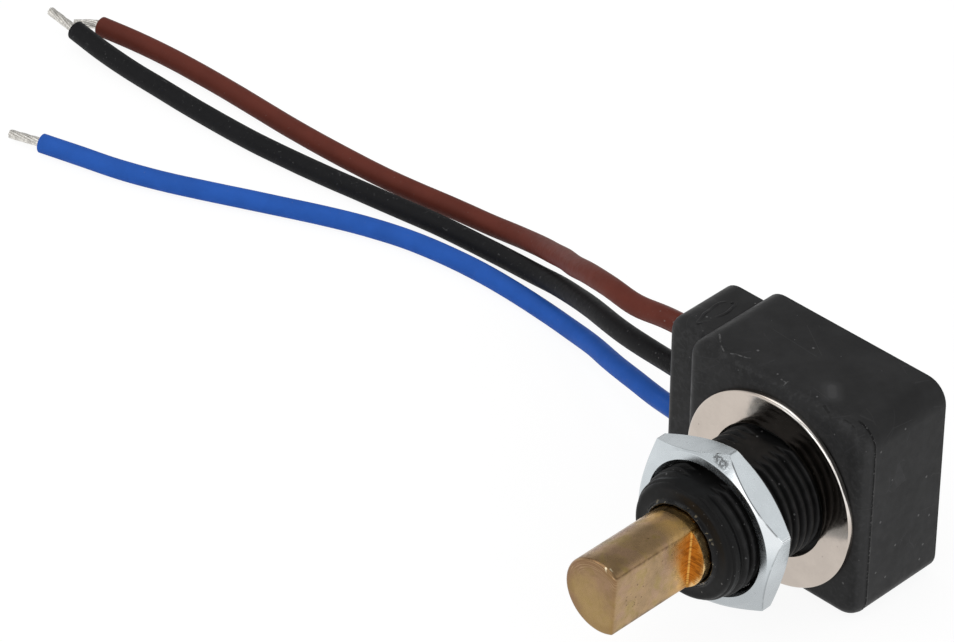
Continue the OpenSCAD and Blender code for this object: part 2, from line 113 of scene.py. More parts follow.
# The lamps: name, place, width in metres and watts
LAMPS = (
    ("key", (-0.25, -0.25, 0.75), 0.90, 2.4), ("side", (0.80, -0.15, 0.35), 0.50, 1.0),
    ("back", (0.48, 0.53, 0.55), 0.50, 0.42), ("front", (0.05, -1.00, 0.12), 0.45, 1.0),
    ("left", (-0.55, -0.57, 0.57), 0.35, 0.45), ("glint", (0.40, 0.25, 0.50), 0.08, 0.12))
# The photograph's width in pixels, which the focal length goes with, and the sensor's in millimetres
IMAGE_WIDTH = 954
SENSOR = 36.0


def length_property(name, text, value, low=0.0, high=1.0):
    """A length in metres with its name and its description."""
    return bpy.props.FloatProperty(
        name=name, description=text, default=value, min=low, max=high,
        precision=5, subtype="DISTANCE", unit="LENGTH")


def angle_property(name, text, degrees):
    """An angle with its name and its description."""
    return bpy.props.FloatProperty(
        name=name, description=text, default=math.radians(degrees), subtype="ANGLE", unit="ROTATION")


def colour_property(name, text, value):
    """A colour with its name and its description."""
    return bpy.props.FloatVectorProperty(
        name=name, description=text, default=value, size=3, min=0.0, max=1.0, subtype="COLOR")


class PotSizes(bpy.types.PropertyGroup):
    """Sizes that the frame doesn't give by itself."""

    corner: length_property("Corner radius", "Radius of the housing's corners from the front", 1.8 * MM)
    front_round: length_property("Front round", "Radius of the housing's front edge", 1.0 * MM)
    block_corner: length_property("Block corner", "Radius of the side block's corners", 1.7 * MM)
    block_round: length_property("Block round", "Radius of the side block's front edge", 0.8 * MM)
    block_height: length_property("Block height", "Height of the side block", 14.0 * MM)
    block_depth: length_property("Block depth", "Depth of the side block", 6.0 * MM)
    body_lift: length_property("Body lift", "Height of the housing's middle above the shaft", 0.4 * MM)
    side_wall: length_property("Side wall", "Thickness of the housing's walls at the back", 1.4 * MM)
    block_wall: length_property("Block wall", "Thickness of the side block's walls", 1.2 * MM)
    thread_crest: length_property("Thread crest", "Outer radius of the panel thread", 4.97 * MM)
    thread_root: length_property("Thread root", "Radius at the bottom of the panel thread", 4.56 * MM)
    thread_pitch: length_property("Thread pitch", "Advance of the panel thread for each turn", 0.75 * MM)
    thread_flat: length_property(
        "Thread flat", "Height above the axis of the flat along the thread's top", 4.45 * MM)
    bore: length_property("Bushing bore", "Radius of the bushing's bore", 3.05 * MM)
    flat_offset: length_property("Flat offset", "Distance from the shaft's axis to its flat", 1.6 * MM)
    flat_length: length_property("Flat length", "Length of the shaft's flat", 7.7 * MM)
    flat_turn: angle_property("Flat turn", "Direction that the shaft's flat faces", -3.3)
    nut_flats: length_property("Nut across flats", "Width of the nut across its flats", 12.35 * MM)
    nut_nose: length_property("Nut nose", "Radius of the round on the nut's faces", 6.02 * MM)
    nut_turn: angle_property("Nut turn", "Direction of the nut's first flat", -12.5)
    washer_hole: length_property("Washer hole", "Radius of the washer's hole", 5.2 * MM)
    lead_radius: length_property("Lead radius", "Radius over a lead's insulation", 0.8 * MM)
    strand_radius: length_property("Strand radius", "Radius of a lead's tinned strand", 0.38 * MM)


class PotColours(bpy.types.PropertyGroup):
    """The finishes' main colours."""

    plastic: colour_property("Plastic", "Black moulded plastic", (0.0245, 0.0245, 0.0250))
    resin: colour_property("Resin", "Cast resin in the side block", (0.006, 0.006, 0.0065))
    brass: colour_property("Brass", "Aged brass of the shaft", (0.40, 0.265, 0.137))
    zinc: colour_property("Zinc", "Bright zinc plate of the nut", (0.60, 0.645, 0.67))
    nickel: colour_property("Nickel", "Bright nickel plate of the washer", (0.55, 0.485, 0.43))
    tin: colour_property("Tin", "Tinned strands and terminals", (0.66, 0.64, 0.60))
    brown: colour_property("Brown lead", "Brown insulation", (0.130, 0.031, 0.021))
    black: colour_property("Black lead", "Black insulation", (0.0115, 0.0115, 0.0125))
    blue: colour_property("Blue lead", "Blue insulation", (0.023, 0.108, 0.460))


class PotView(bpy.types.PropertyGroup):
    """The camera that matches the photograph."""

    azimuth: angle_property("Azimuth", "Turn of the camera from straight in front, towards +X", 44.21)
    elevation: angle_property("Elevation", "Height of the camera above level", 35.833)
    roll: angle_property("Roll", "Turn of the camera about its own line of sight", 0.558)
    distance: length_property("Distance", "From the camera to the middle of the view", 384.687 * MM)
    middle_right: bpy.props.FloatProperty(
        name="Middle right", description="Middle of the view, to the camera's right of the origin",
        default=-20.872 * MM, precision=5, unit="LENGTH")
    middle_up: bpy.props.FloatProperty(
        name="Middle up", description="Middle of the view, above the origin as the camera sees it",
        default=11.640 * MM, precision=5, unit="LENGTH")
    focal_pixels: bpy.props.FloatProperty(
        name="Focal length", description="Focal length in pixels of the photograph",
        default=5422.25, min=100.0, max=20000.0)


def empty_tree(owner):
    """The node tree of a material or a world, with nothing in it."""
    owner.use_nodes = True
    owner.node_tree.nodes.clear()
    return owner.node_tree


def paint(colour, factor=1.0):
    """A colour with its alpha, made lighter or darker by a factor."""
    return tuple(min(c * factor, 1.0) for c in colour) + (1.0,)


class Nodes:
    """Short calls that build one node tree. An input is a value or another node's output."""

    def __init__(self, tree):
        self.tree = tree

    def fill(self, socket, value):
        """Links a socket to another node's output, or sets its value."""
        if isinstance(value, bpy.types.NodeSocket):
            self.tree.links.new(value, socket)
        else:
            socket.default_value = value

    def add(self, kind, inputs=None, **values):
        """A node with its settings and inputs."""
        made = self.tree.nodes.new(kind)
        for name, value in values.items():
            setattr(made, name, value)
        for name, value in (inputs or {}).items():
            self.fill(made.inputs[name], value)
        return made

    def math(self, operation, a, b=0.0):
        """A math node's value."""
        return self.add("ShaderNodeMath", {0: a, 1: b}, operation=operation).outputs["Value"]

    def plus(self, a, b):
        """The sum of two values."""
        return self.math("ADD", a, b)

    def minus(self, a, b):
        """One value less another."""
        return self.math("SUBTRACT", a, b)

    def times(self, product, *factors):
        """The product of some values."""
        for factor in factors:
            product = self.math("MULTIPLY", product, factor)
        return product

    def most(self, largest, *others):
        """The largest of some values."""
        for other in others:
            largest = self.math("MAXIMUM", largest, other)
        return largest

    def span(self, value, low, high, to_low=0.0, to_high=1.0):
        """Value moved from one range to another, smoothly and held at the ends."""
        return self.add(
            "ShaderNodeMapRange",
            {"Value": value, "From Min": low, "From Max": high, "To Min": to_low, "To Max": to_high},
            interpolation_type="SMOOTHSTEP").outputs["Result"]

    def part(self, vector, name):
        """One of the parts X, Y and Z of a vector or a colour."""
        return self.add("ShaderNodeSeparateXYZ", {"Vector": vector}).outputs[name]

    def vector(self, operation, a, b):
        """A vector math node's vector."""
        return self.add("ShaderNodeVectorMath", {0: a, 1: b}, operation=operation).outputs["Vector"]

    def scaled(self, vector, factor):
        """A vector made longer or shorter by a factor."""
        return self.add("ShaderNodeVectorMath", {0: vector, "Scale": factor},
                        operation="SCALE").outputs["Vector"]

    def measured(self, operation, a, b=(0.0, 0.0, 0.0)):
        """A vector math node's value, such as a length or a distance."""
        return self.add("ShaderNodeVectorMath", {0: a, 1: b}, operation=operation).outputs["Value"]


class Graph(Nodes):
    """Short calls that build one material's nodes. Patterns are in millimetres of the object."""

    def __init__(self, name):
        self.material = bpy.data.materials.new(name)
        super().__init__(empty_tree(self.material))
        self.shader = self.add("ShaderNodeBsdfPrincipled")
        self.add("ShaderNodeOutputMaterial", {"Surface": self.shader.outputs["BSDF"]})
        self.place = None

    def shade(self, **inputs):
        """The material, once the shader's own inputs are set. Underscores stand for spaces."""
        for name, value in inputs.items():
            self.fill(self.shader.inputs[name.replace("_", " ")], value)
        return self.material

    def millimetres(self):
        """Object coordinates in millimetres."""
        if self.place is None:
            source = self.add("ShaderNodeTexCoord").outputs["Object"]
            self.place = self.vector("MULTIPLY", source, (1000.0, 1000.0, 1000.0))
        return self.place

    def stretched(self, scale, turn=(0.0, 0.0, 0.0)):
        """Millimetre coordinates that are turned, then scaled along each axis."""
        turned = self.add("ShaderNodeMapping", {"Vector": self.millimetres(), "Rotation": turn})
        return self.vector("MULTIPLY", turned.outputs["Vector"], scale)

    def axis(self, name):
        """One of the object's coordinates in millimetres."""
        return self.part(self.millimetres(), name)

    def reach(self):
        """The distance from the shaft's axis in millimetres."""
        return self.measured("LENGTH", self.stretched((1.0, 0.0, 1.0)))

    def noise(self, scale, detail=2.0, rough=0.5, vector=None):
        """Soft noise from 0 to 1, with so many features for each millimetre."""
        return self.add(
            "ShaderNodeTexNoise",
            {"Vector": vector or self.millimetres(), "Scale": scale, "Detail": detail,
             "Roughness": rough}).outputs["Fac"]

    def dots(self, scale, size, share):
        """Small round specks, 1 inside, in a share of the cells of a Voronoi pattern."""
        cells = self.add("ShaderNodeTexVoronoi", {"Vector": self.millimetres(), "Scale": scale},
                         feature="F1").outputs
        inside = self.math("LESS_THAN", cells["Distance"], size)
        chosen = self.math("LESS_THAN", self.part(cells["Color"], "X"), share)
        return self.times(inside, chosen)

    def near_line(self, start, end, width, wander=0.0):
        """1 within a width of a straight stretch in millimetres, whose course may wander."""
        place = self.millimetres()
        if wander:
            soft = self.add("ShaderNodeTexNoise", {"Vector": place, "Scale": 1.3, "Detail": 3.0})
            shift = self.vector("SUBTRACT", soft.outputs["Color"], (0.5, 0.5, 0.5))
            place = self.vector("ADD", place, self.scaled(shift, wander))
        run = Vector(end) - Vector(start)
        offset = self.vector("SUBTRACT", place, start)
        along = self.measured("DOT_PRODUCT", offset, tuple(run / run.length_squared))
        held = self.add("ShaderNodeClamp", {"Value": along}).outputs["Result"]
        gap = self.measured("DISTANCE", offset, self.scaled(tuple(run), held))
        return self.span(gap, 0.4 * width, width, 1.0, 0.0)

    def marks(self, lines):
        """1 on each of some lines, which are given by start, end, width and wander."""
        return self.most(*[self.near_line(*line) for line in lines])

    def attribute(self, name):
        """A value stored on the mesh."""
        return self.add("ShaderNodeAttribute", attribute_name=name).outputs["Fac"]

    def mix(self, share, a, b):
        """A mix of two colours."""
        return self.add("ShaderNodeMix", {0: share, 6: a, 7: b}, data_type="RGBA").outputs[2]

    def clouded(self, colour, cloud, low, dark, pale):
        """A colour that drifts between two tones, as the cloud goes from low to 1 less low."""
        return self.mix(self.span(cloud, low, 1.0 - low), paint(colour, dark), paint(colour, pale))

    def tint(self, base, mask, share, colour):
        """The base, covered with another colour by a share of the mask."""
        return self.mix(self.times(mask, share), base, paint(colour))

    def bump(self, height, depth, strength=1.0, after=None):
        """A bump whose height of 1 stands for a depth in millimetres."""
        inputs = {"Height": height, "Distance": depth * MM, "Strength": strength}
        if after is not None:
            inputs["Normal"] = after
        return self.add("ShaderNodeBump", inputs).outputs["Normal"]


# Marks, painted highlights and painted shade on the pieces, in millimetres: start, end, width and how far the
# course wanders
TOP_SCRATCHES = (
    ((-6.96, 1.68, 8.8), (-5.35, 0.40, 8.7), 0.10, 0.3), ((-5.35, 0.40, 8.7), (-3.47, 1.10, 8.8), 0.09, 0.3),
    ((0.28, 0.51, 8.7), (0.26, 1.10, 8.8), 0.08), ((0.28, 0.75, 8.8), (-0.25, 0.80, 8.8), 0.07))
# Dark marks painted on the top, with no dent in the surface
TOP_DARK_MARKS = (
    ((3.9, 0.65, 8.75), (4.5, 0.45, 8.65), 0.15, 0.3), ((5.9, 0.50, 8.7), (7.0, 0.42, 8.6), 0.13, 0.5))
# Painted highlight: a soft light patch on the top
TOP_PAINTED_HIGHLIGHT = ((2.9, 2.6, 8.8), (3.6, 1.9, 8.8))
# Painted highlight: a light line along the right side's front edge
LIT_EDGE = ((8.42, 0.42, 7.6), (8.42, 0.42, -7.2), 0.55)
# Painted shade: where the seam's near-black line ends over the top corner
SEAM_SHADE_END = ((8.35, 0.25, 8.0), (8.15, 0.50, 8.45), 0.20, 0.4)
FLAT_SPOTS = ((1.6, -16.5, -0.3), (1.6, -15.6, -0.7), 0.8)
END_GLOW = ((-0.9, -18.0, -0.4), (0.2, -18.0, -1.8), 2.2, 1.6)
END_NICKS = (((0.62, -17.9, 2.95), (1.40, -17.9, 2.0), 0.10, 0.2),
             ((0.95, -17.75, 2.85), (1.60, -17.8, 2.35), 0.09, 0.3))
NUT_SCUFF = ((0.75, -6.9, 6.50), (1.45, -6.9, 6.30), 0.48)


def scratches(g, scale, width, turns, limit):
    """Fine straight scratches, 1 on the line, from stretched cells in several directions."""
    lines = []
    for turn in turns:
        long = g.stretched((scale, scale * 0.06, scale * 0.5), turn)
        cells = g.add("ShaderNodeTexVoronoi", {"Vector": long, "Scale": 1.0},
                      feature="DISTANCE_TO_EDGE")
        line = g.math("LESS_THAN", cells.outputs["Distance"], width)
        cloud = g.noise(scale * 0.35, 1.0, vector=g.stretched((1, 1, 1), turn))
        lines.append(g.times(line, g.math("GREATER_THAN", cloud, limit)))
    return g.most(*lines)


def black_plastic(name, colours):
    """Black moulded plastic: a fine spark texture, dust specks, worn edges that are also painted lighter as a
    highlight, scratches, dark marks on the top, painted highlights on the top and along the right front edge,
    and painted shade along the seam.
    """
    g = Graph(name)
    base = g.clouded(colours.plastic, g.noise(0.35, 3.0, 0.6), 0.3, 0.85, 1.15)
    specks = g.most(g.dots(0.75, 0.075, 0.50), g.dots(2.2, 0.09, 0.10))
    # Worn edges: the front fillet and the block's step, also painted lighter there as a highlight
    rubbed_and_lit = g.times(g.attribute("edge"), g.span(g.noise(2.2, 4.0, 0.65), 0.46, 0.64))
    flash = g.times(g.attribute("seam"), g.span(g.noise(5.5, 3.0, 0.7), 0.56, 0.62))
    top_scratch = g.times(g.marks(TOP_SCRATCHES), g.span(g.noise(3.0, 3.0, 0.7), 0.42, 0.56))
    hairlines = scratches(g, 0.7, 0.012, ((0.3, 0.5, 0.4), (0.8, 0.1, 1.9)), 0.60)
    marks = g.most(g.times(hairlines, 0.2), top_scratch)
    worn = g.most(g.times(rubbed_and_lit, 0.25), g.times(marks, 0.8))
    base = g.mix(worn, base, paint((0.070, 0.070, 0.072)))
    base = g.tint(base, top_scratch, 0.5, (0.13, 0.13, 0.13))
    # Dark marks painted on the top
    base = g.tint(base, g.marks(TOP_DARK_MARKS), 0.7, (0.008, 0.008, 0.008))
    # Painted highlight: a soft light patch on the top, in two widths
    for width, share in ((1.0, 0.18), (0.45, 0.30)):
        base = g.tint(base, g.near_line(*TOP_PAINTED_HIGHLIGHT, width), share, (0.085, 0.085, 0.086))
    # Painted highlight: a light line along the right side's front edge
    base = g.tint(base, g.near_line(*LIT_EDGE), 0.35, (0.060, 0.060, 0.061))
    # Painted shade: the seam's line and its end over the top corner are painted near black
    groove = g.most(g.attribute("seam"), g.near_line(*SEAM_SHADE_END))
    base = g.tint(base, groove, 0.85, (0.004, 0.004, 0.004))
    base = g.tint(base, flash, 0.8, (0.13, 0.13, 0.13))
    base = g.tint(base, specks, 0.7, (0.14, 0.14, 0.14))
    rough = g.span(g.noise(1.3, 3.0, 0.6), 0.25, 0.75, 0.38, 0.50)
    grain = g.bump(g.noise(14.0, 2.0, 0.6), 0.006, 0.6)
    waves = g.bump(g.noise(0.5, 2.0, 0.5), 0.06, 0.35, grain)
    bumps = g.bump(g.most(specks, marks, flash), 0.015, 0.7, waves)
    return g.shade(Base_Color=base, Roughness=rough, Normal=bumps, Specular_IOR_Level=0.09)


def thread_plastic(name, colours):
    """The bushing's black plastic: a satin thread whose crests on the +X side carry a painted highlight, a
    few specks and a glossy, uneven lip with painted glints.
    """
    g = Graph(name)
    base = g.clouded(colours.plastic, g.noise(0.6, 3.0, 0.6), 0.3, 0.16, 0.30)
    specks = g.most(g.dots(1.1, 0.09, 0.55), g.dots(3.0, 0.12, 0.12))
    # Painted highlight: the crests on the +X side are painted lighter
    crest = g.times(g.span(g.reach(), 4.66, 4.92), g.span(g.axis("X"), 0.5, 3.5),
                    g.span(g.noise(1.1, 3.0, 0.6), 0.35, 0.62, 0.35, 1.0))
    base = g.mix(g.times(crest, 0.8), base, paint(colours.plastic, 0.95))
    lip = g.attribute("lip")
    # Painted glints: light yellowish dots on the lip
    glints = g.times(lip, g.span(g.noise(3.0, 3.0, 0.7), 0.62, 0.67))
    base = g.tint(base, glints, 0.8, (0.34, 0.29, 0.19))
    base = g.tint(base, specks, 0.7, (0.14, 0.14, 0.14))
    rough = g.minus(g.span(g.noise(2.4, 3.0, 0.6), 0.25, 0.75, 0.40, 0.52), g.times(lip, 0.30))
    grain = g.bump(g.noise(9.0, 3.0, 0.6), 0.005, 0.5)
    dents = g.bump(g.noise(1.6, 3.0, 0.6), 0.02, 0.35, grain)
    bumps = g.bump(g.times(g.noise(2.2, 2.0, 0.5), lip), 0.12, 0.8, dents)
    gloss = g.plus(g.times(lip, 0.08), 0.135)
    return g.shade(Base_Color=base, Roughness=rough, Normal=bumps, Specular_IOR_Level=gloss)


def cast_resin(name, colours):
    """Cast black resin: glossy, with soft waves and small bubbles."""
    g = Graph(name)
    base = g.clouded(colours.resin, g.noise(0.8, 3.0), 0.35, 0.8, 1.5)
    rough = g.span(g.noise(2.0, 3.0), 0.3, 0.7, 0.16, 0.30)
    waves = g.bump(g.noise(1.1, 2.0, 0.4), 0.05, 0.5)
    bumps = g.bump(g.minus(0.0, g.dots(3.0, 0.12, 0.16)), 0.03, 0.8, waves)
    return g.shade(Base_Color=base, Roughness=rough, Normal=bumps, Specular_IOR_Level=0.4)


def aged_brass(name, colours):
    """Aged brass: brown stains, dark pits, the flat's edges painted dark brown, a painted highlight on the
    shoulder's rim, and the shoulder painted orange as light bounced between it and the flat, with the marks
    of its milling.
    """
    g = Graph(name)
    base = g.clouded(colours.brass, g.noise(0.55, 4.0, 0.62), 0.34, 1.05, 0.82)
    blot = g.noise(1.8, 5.0, 0.68)
    base = g.tint(base, g.span(blot, 0.52, 0.72), 0.55, (0.19, 0.115, 0.06))
    base = g.tint(base, g.span(g.noise(0.9, 3.0, 0.6), 0.50, 0.66), 0.55, (0.36, 0.26, 0.085))
    base = g.tint(base, g.span(g.noise(0.6, 2.0, 0.5), 0.50, 0.62), 0.5, (0.40, 0.25, 0.17))
    pits = g.times(g.dots(1.9, 0.13, 0.5), g.span(g.noise(0.5, 2.0), 0.45, 0.6))
    pits = g.most(pits, g.times(g.near_line(*FLAT_SPOTS), g.dots(3.4, 0.22, 0.6)))
    base = g.tint(base, pits, 0.7, (0.10, 0.05, 0.025))
    # The flat's long edges, painted dark brown
    dark_flat_edges = g.times(g.attribute("edge"), g.span(g.noise(2.5, 3.0), 0.35, 0.6, 0.35, 0.85))
    base = g.mix(dark_flat_edges, base, paint((0.12, 0.07, 0.035)))
    gilt = g.times(g.span(g.axis("Y"), -13.0, -10.4), g.span(g.noise(0.8, 3.0, 0.6), 0.35, 0.6, 0.4, 1.0))
    base = g.tint(base, gilt, 0.7, (0.90, 0.55, 0.17))
    base = end_of_brass(g, base)
    # Painted light: the shoulder face is orange, fading onto the flat near it, as light bounced between them;
    # the milling marks on it are real
    fresh = g.attribute("fresh")
    base = g.mix(fresh, base, paint((0.66, 0.33, 0.07)))
    ticks = g.span(g.noise(1.0, 2.0, 0.6, vector=g.stretched((0.8, 0.8, 8.0))), 0.50, 0.56)
    base = g.tint(base, g.times(ticks, fresh), 0.6, (0.20, 0.07, 0.01))
    # Painted highlight: a light line on the shoulder's rim
    base = g.tint(base, g.attribute("bright"), 0.6, (0.85, 0.62, 0.32))
    rough = g.minus(g.span(blot, 0.3, 0.75, 0.22, 0.40), g.times(g.attribute("polish"), 0.10))
    turned = g.bump(g.noise(1.0, 2.0, 0.7, vector=g.stretched((0.25, 22.0, 0.25))), 0.004, 0.5)
    milled = g.times(g.noise(1.0, 2.0, 0.6, vector=g.stretched((0.6, 0.6, 9.0))), fresh)
    cut = g.bump(milled, 0.03, 0.8, turned)
    dents = g.bump(g.noise(1.4, 3.0, 0.6), 0.03, 0.35, cut)
    bumps = g.bump(g.minus(0.0, pits), 0.02, 0.6, dents)
    return g.shade(Base_Color=base, Metallic=1.0, Roughness=rough, Normal=bumps)


def end_of_brass(g, base):
    """The colour of the shaft's end: a brown rim, faint turning rings, a golden patch and bright nicks."""
    end, reach = g.attribute("end"), g.reach()
    base = g.mix(g.times(end, g.span(reach, 2.05, 2.45, 0.45, 0.70)), base, paint((0.20, 0.105, 0.052)))
    course = g.add("ShaderNodeCombineXYZ", {"X": g.times(reach, 7.0), "Y": g.times(g.axis("Z"), 0.5)})
    rings = g.span(g.noise(1.0, 3.0, 0.65, vector=course.outputs["Vector"]), 0.48, 0.60)
    swirl = g.times(rings, g.span(reach, 1.7, 2.3), g.span(g.axis("Z"), 0.4, 1.6))
    base = g.tint(base, g.times(end, swirl), 0.4, (0.55, 0.38, 0.22))
    base = g.tint(base, g.times(end, g.near_line(*END_GLOW)), 0.35, (0.44, 0.31, 0.10))
    return g.tint(base, g.marks(END_NICKS), 0.8, (0.98, 0.86, 0.60))


def bright_zinc(name, colours):
    """Bright zinc plate: a cool, slightly cloudy metal with soft dents and scuffed corners, a painted
    highlight on the upper chamfers, and painted shade in the bore, along the chamfer's edges and towards the
    bottom.
    """
    g = Graph(name)
    base = g.clouded(colours.zinc, g.noise(0.7, 4.0, 0.6), 0.3, 0.96, 1.04)
    pits = g.most(g.dots(1.6, 0.08, 0.25), g.dots(3.4, 0.10, 0.06))
    # Painted shade: darker towards the bottom
    base = g.mix(g.span(g.axis("Z"), -3.5, 1.0, 0.45, 0.0), base, paint((0.30, 0.315, 0.325)))
    base = g.tint(base, pits, 0.5, (0.30, 0.31, 0.33))
    bore = g.attribute("bore")
    # Painted shade: the bore and its mouth are painted dark, standing for their shade and their reflection of
    # the black thread
    base = g.tint(base, bore, 0.75, (0.12, 0.127, 0.132))
    # Painted highlight: the chamfer at the upper right is painted near white
    base = g.tint(base, g.attribute("chamfer"), 0.6, (0.92, 0.95, 0.97))
    # Painted shade: a dark line along the edge between the chamfer and the flats
    crease = g.times(g.attribute("crease"), g.span(g.noise(0.9, 2.0), 0.30, 0.45))
    base = g.tint(base, crease, 0.8, (0.10, 0.105, 0.11))
    scuff = g.times(g.near_line(*NUT_SCUFF), g.span(g.noise(5.5, 4.0, 0.7), 0.46, 0.52))
    base = g.tint(base, scuff, 0.85, (0.13, 0.135, 0.14))
    rough = g.span(g.noise(1.4, 3.0, 0.6), 0.3, 0.7, 0.22, 0.29)
    peel = g.bump(g.noise(4.0, 2.0, 0.6), 0.002, 0.4)
    soft = g.bump(g.noise(0.9, 2.0, 0.5), 0.03, 0.4, peel)
    hurt = g.bump(g.most(scuff, g.times(bore, g.noise(1.6, 2.0, 0.6))), 0.04, 0.7, soft)
    bumps = g.bump(g.minus(0.0, pits), 0.010, 0.5, hurt)
    return g.shade(Base_Color=base, Metallic=1.0, Roughness=rough, Normal=bumps)


def bright_nickel(name, colours):
    """Bright nickel plate: nearly a mirror, with a few stains and handling marks, light streaks painted on
    its rim as a highlight, and painted shade on the rim's back at the upper right.
    """
    g = Graph(name)
    base = g.clouded(colours.nickel, g.noise(0.5, 3.0, 0.6), 0.35, 0.98, 1.05)
    pits = g.dots(1.5, 0.08, 0.30)
    base = g.tint(base, pits, 0.5, (0.20, 0.17, 0.15))
    streaks = g.span(g.noise(1.0, 3.0, 0.6, vector=g.stretched((1.2, 16.0, 1.2))), 0.38, 0.58, 0.45, 1.0)
    # Painted highlight: light streaks on the rolled rim at the upper right
    base = g.tint(base, g.attribute("rim"), streaks, (0.92, 0.89, 0.85))
    # Painted shade: the back of the rim, where the punch broke it, is painted dark at the upper right
    base = g.tint(base, g.attribute("torn"), 0.9, (0.07, 0.065, 0.06))
    rough = g.span(g.noise(1.9, 4.0, 0.6), 0.3, 0.7, 0.09, 0.16)
    rolled = g.noise(1.0, 2.0, 0.6, vector=g.stretched((14.0, 1.0, 0.5), (0.0, 0.6, 0.0)))
    lines = g.bump(rolled, 0.0012, 0.3)
    waves = g.bump(g.noise(0.45, 2.0, 0.4), 0.03, 0.35, lines)
    bumps = g.bump(g.minus(0.0, pits), 0.008, 0.4, waves)
    return g.shade(Base_Color=base, Metallic=1.0, Roughness=rough, Normal=bumps)


def tinned_metal(name, colours):
    """Solder-covered copper: soft lumps, cloudy grey with bright spots."""
    g = Graph(name)
    base = g.clouded(colours.tin, g.noise(3.2, 4.0, 0.6), 0.35, 0.75, 1.12)
    rough = g.span(g.noise(5.0, 3.0, 0.6), 0.3, 0.7, 0.25, 0.48)
    bumps = g.bump(g.noise(4.5, 4.0, 0.6), 0.03, 0.7)
    return g.shade(Base_Color=base, Metallic=1.0, Roughness=rough, Normal=bumps)


def insulation(name, colour, scuffed):
    """Extruded insulation: satin, with draw lines along it, dust, a few scuffs and light specks near the
    block painted as glints.
    """
    g = Graph(name)
    base = g.clouded(colour, g.noise(0.4, 3.0, 0.55), 0.3, 0.93, 1.07)
    along = g.attribute("along")
    start = g.span(along, 1.0, 5.5, 1.0, 0.0)
    dust = g.most(g.dots(1.6, 0.09, 0.20), g.times(g.dots(3.6, 0.16, 0.55), start))
    scuff = g.times(g.span(g.noise(2.6, 5.0, 0.7), 0.62, 0.68), scuffed)
    pale = tuple(0.5 * c + 0.09 for c in colour)
    base = g.tint(base, g.most(g.times(dust, 0.7), scuff), 0.55, pale)
    # Painted glints: light specks near the block
    glint_flecks = g.times(g.dots(2.6, 0.19, 0.34), g.span(along, 1.6, 4.2, 1.0, 0.0))
    base = g.tint(base, glint_flecks, 0.22 + 0.28 * scuffed, (0.34, 0.34, 0.34))
    rough = g.minus(g.span(g.noise(2.5, 3.0, 0.6), 0.3, 0.7, 0.52, 0.62), g.times(start, 0.28))
    streaks = g.add("ShaderNodeCombineXYZ", {"X": g.times(along, 0.35),
                                             "Y": g.times(g.attribute("around"), 9.0)})
    lines = g.bump(g.noise(1.0, 2.0, 0.6, vector=streaks.outputs["Vector"]), 0.010, 0.35)
    wrinkles = g.bump(g.times(g.noise(3.4, 3.0, 0.6), start), 0.10, 0.7 * scuffed, lines)
    bumps = g.bump(g.noise(1.2, 3.0, 0.5), 0.03, 0.35, wrinkles)
    return g.shade(Base_Color=base, Roughness=rough, Normal=bumps, Specular_IOR_Level=0.09)


def plain_stock(name, colour, metallic, low, high, grain, depth):
    """A plain engineering stock for inner pieces: cloudy colour, uneven gloss and a fine grain."""
    g = Graph(name)
    base = g.clouded(colour, g.noise(0.9, 3.0, 0.6), 0.3, 0.86, 1.12)
    rough = g.span(g.noise(grain * 0.4, 3.0), 0.3, 0.7, low, high)
    bumps = g.bump(g.noise(grain, 3.0, 0.6), depth, 0.6)
    return g.shade(Base_Color=base, Metallic=metallic, Roughness=rough, Normal=bumps)


OUTER_FINISHES = {
    "moulded_black": black_plastic, "thread_plastic": thread_plastic, "cast_resin": cast_resin,
    "aged_brass": aged_brass, "bright_zinc": bright_zinc, "bright_nickel": bright_nickel,
    "tinned_strand": tinned_metal,
}
# How scuffed the insulation of each lead is
SCUFFS = {"brown_sleeve": 0.25, "black_sleeve": 1.0, "blue_sleeve": 0.25}
# Stocks of the inner pieces: colour, metallic, least and most roughness, grain and its depth
STOCKS = {
    "natural_moulding": ((0.70, 0.66, 0.56), 0.0, 0.40, 0.55, 9.0, 0.006),
    "spring_strip": ((0.50, 0.51, 0.53), 1.0, 0.25, 0.40, 7.0, 0.004),
    "spring_bronze": ((0.62, 0.41, 0.24), 1.0, 0.22, 0.38, 7.0, 0.004),
    "laminate": ((0.28, 0.14, 0.06), 0.0, 0.35, 0.55, 5.0, 0.010),
    "carbon_print": ((0.02, 0.02, 0.02), 0.0, 0.5, 0.7, 12.0, 0.006),
    "silver_ink": ((0.66, 0.65, 0.62), 1.0, 0.4, 0.6, 12.0, 0.006),
}


def finish_of(name):
    """A finish by its name, made on its first use."""
    found = bpy.data.materials.get(name)
    if found:
        return found
    colours = bpy.context.scene.pot_colours
    if name in STOCKS:
        return plain_stock(name, *STOCKS[name])
    if name in SCUFFS:
        return insulation(name, getattr(colours, name.removesuffix("_sleeve")), SCUFFS[name])
    return OUTER_FINISHES[name](name, colours)


def link_mesh(name, mesh):
    """A new object at the origin that holds the mesh."""
    piece = bpy.data.objects.new(name, mesh)
    bpy.context.scene.collection.objects.link(piece)
    return piece


def mesh_from(name, points, faces):
    """A mesh from points and faces whose doubles are merged and whose faces point outwards."""
    mesh = bpy.data.meshes.new(name)
    mesh.from_pydata([tuple(p) for p in points], [], faces)
    work = bmesh.new()
    work.from_mesh(mesh)
    bmesh.ops.remove_doubles(work, verts=work.verts, dist=1e-7)
    bmesh.ops.recalc_face_normals(work, faces=work.faces)
    work.to_mesh(mesh)
    work.free()
    mesh.update()
    return mesh


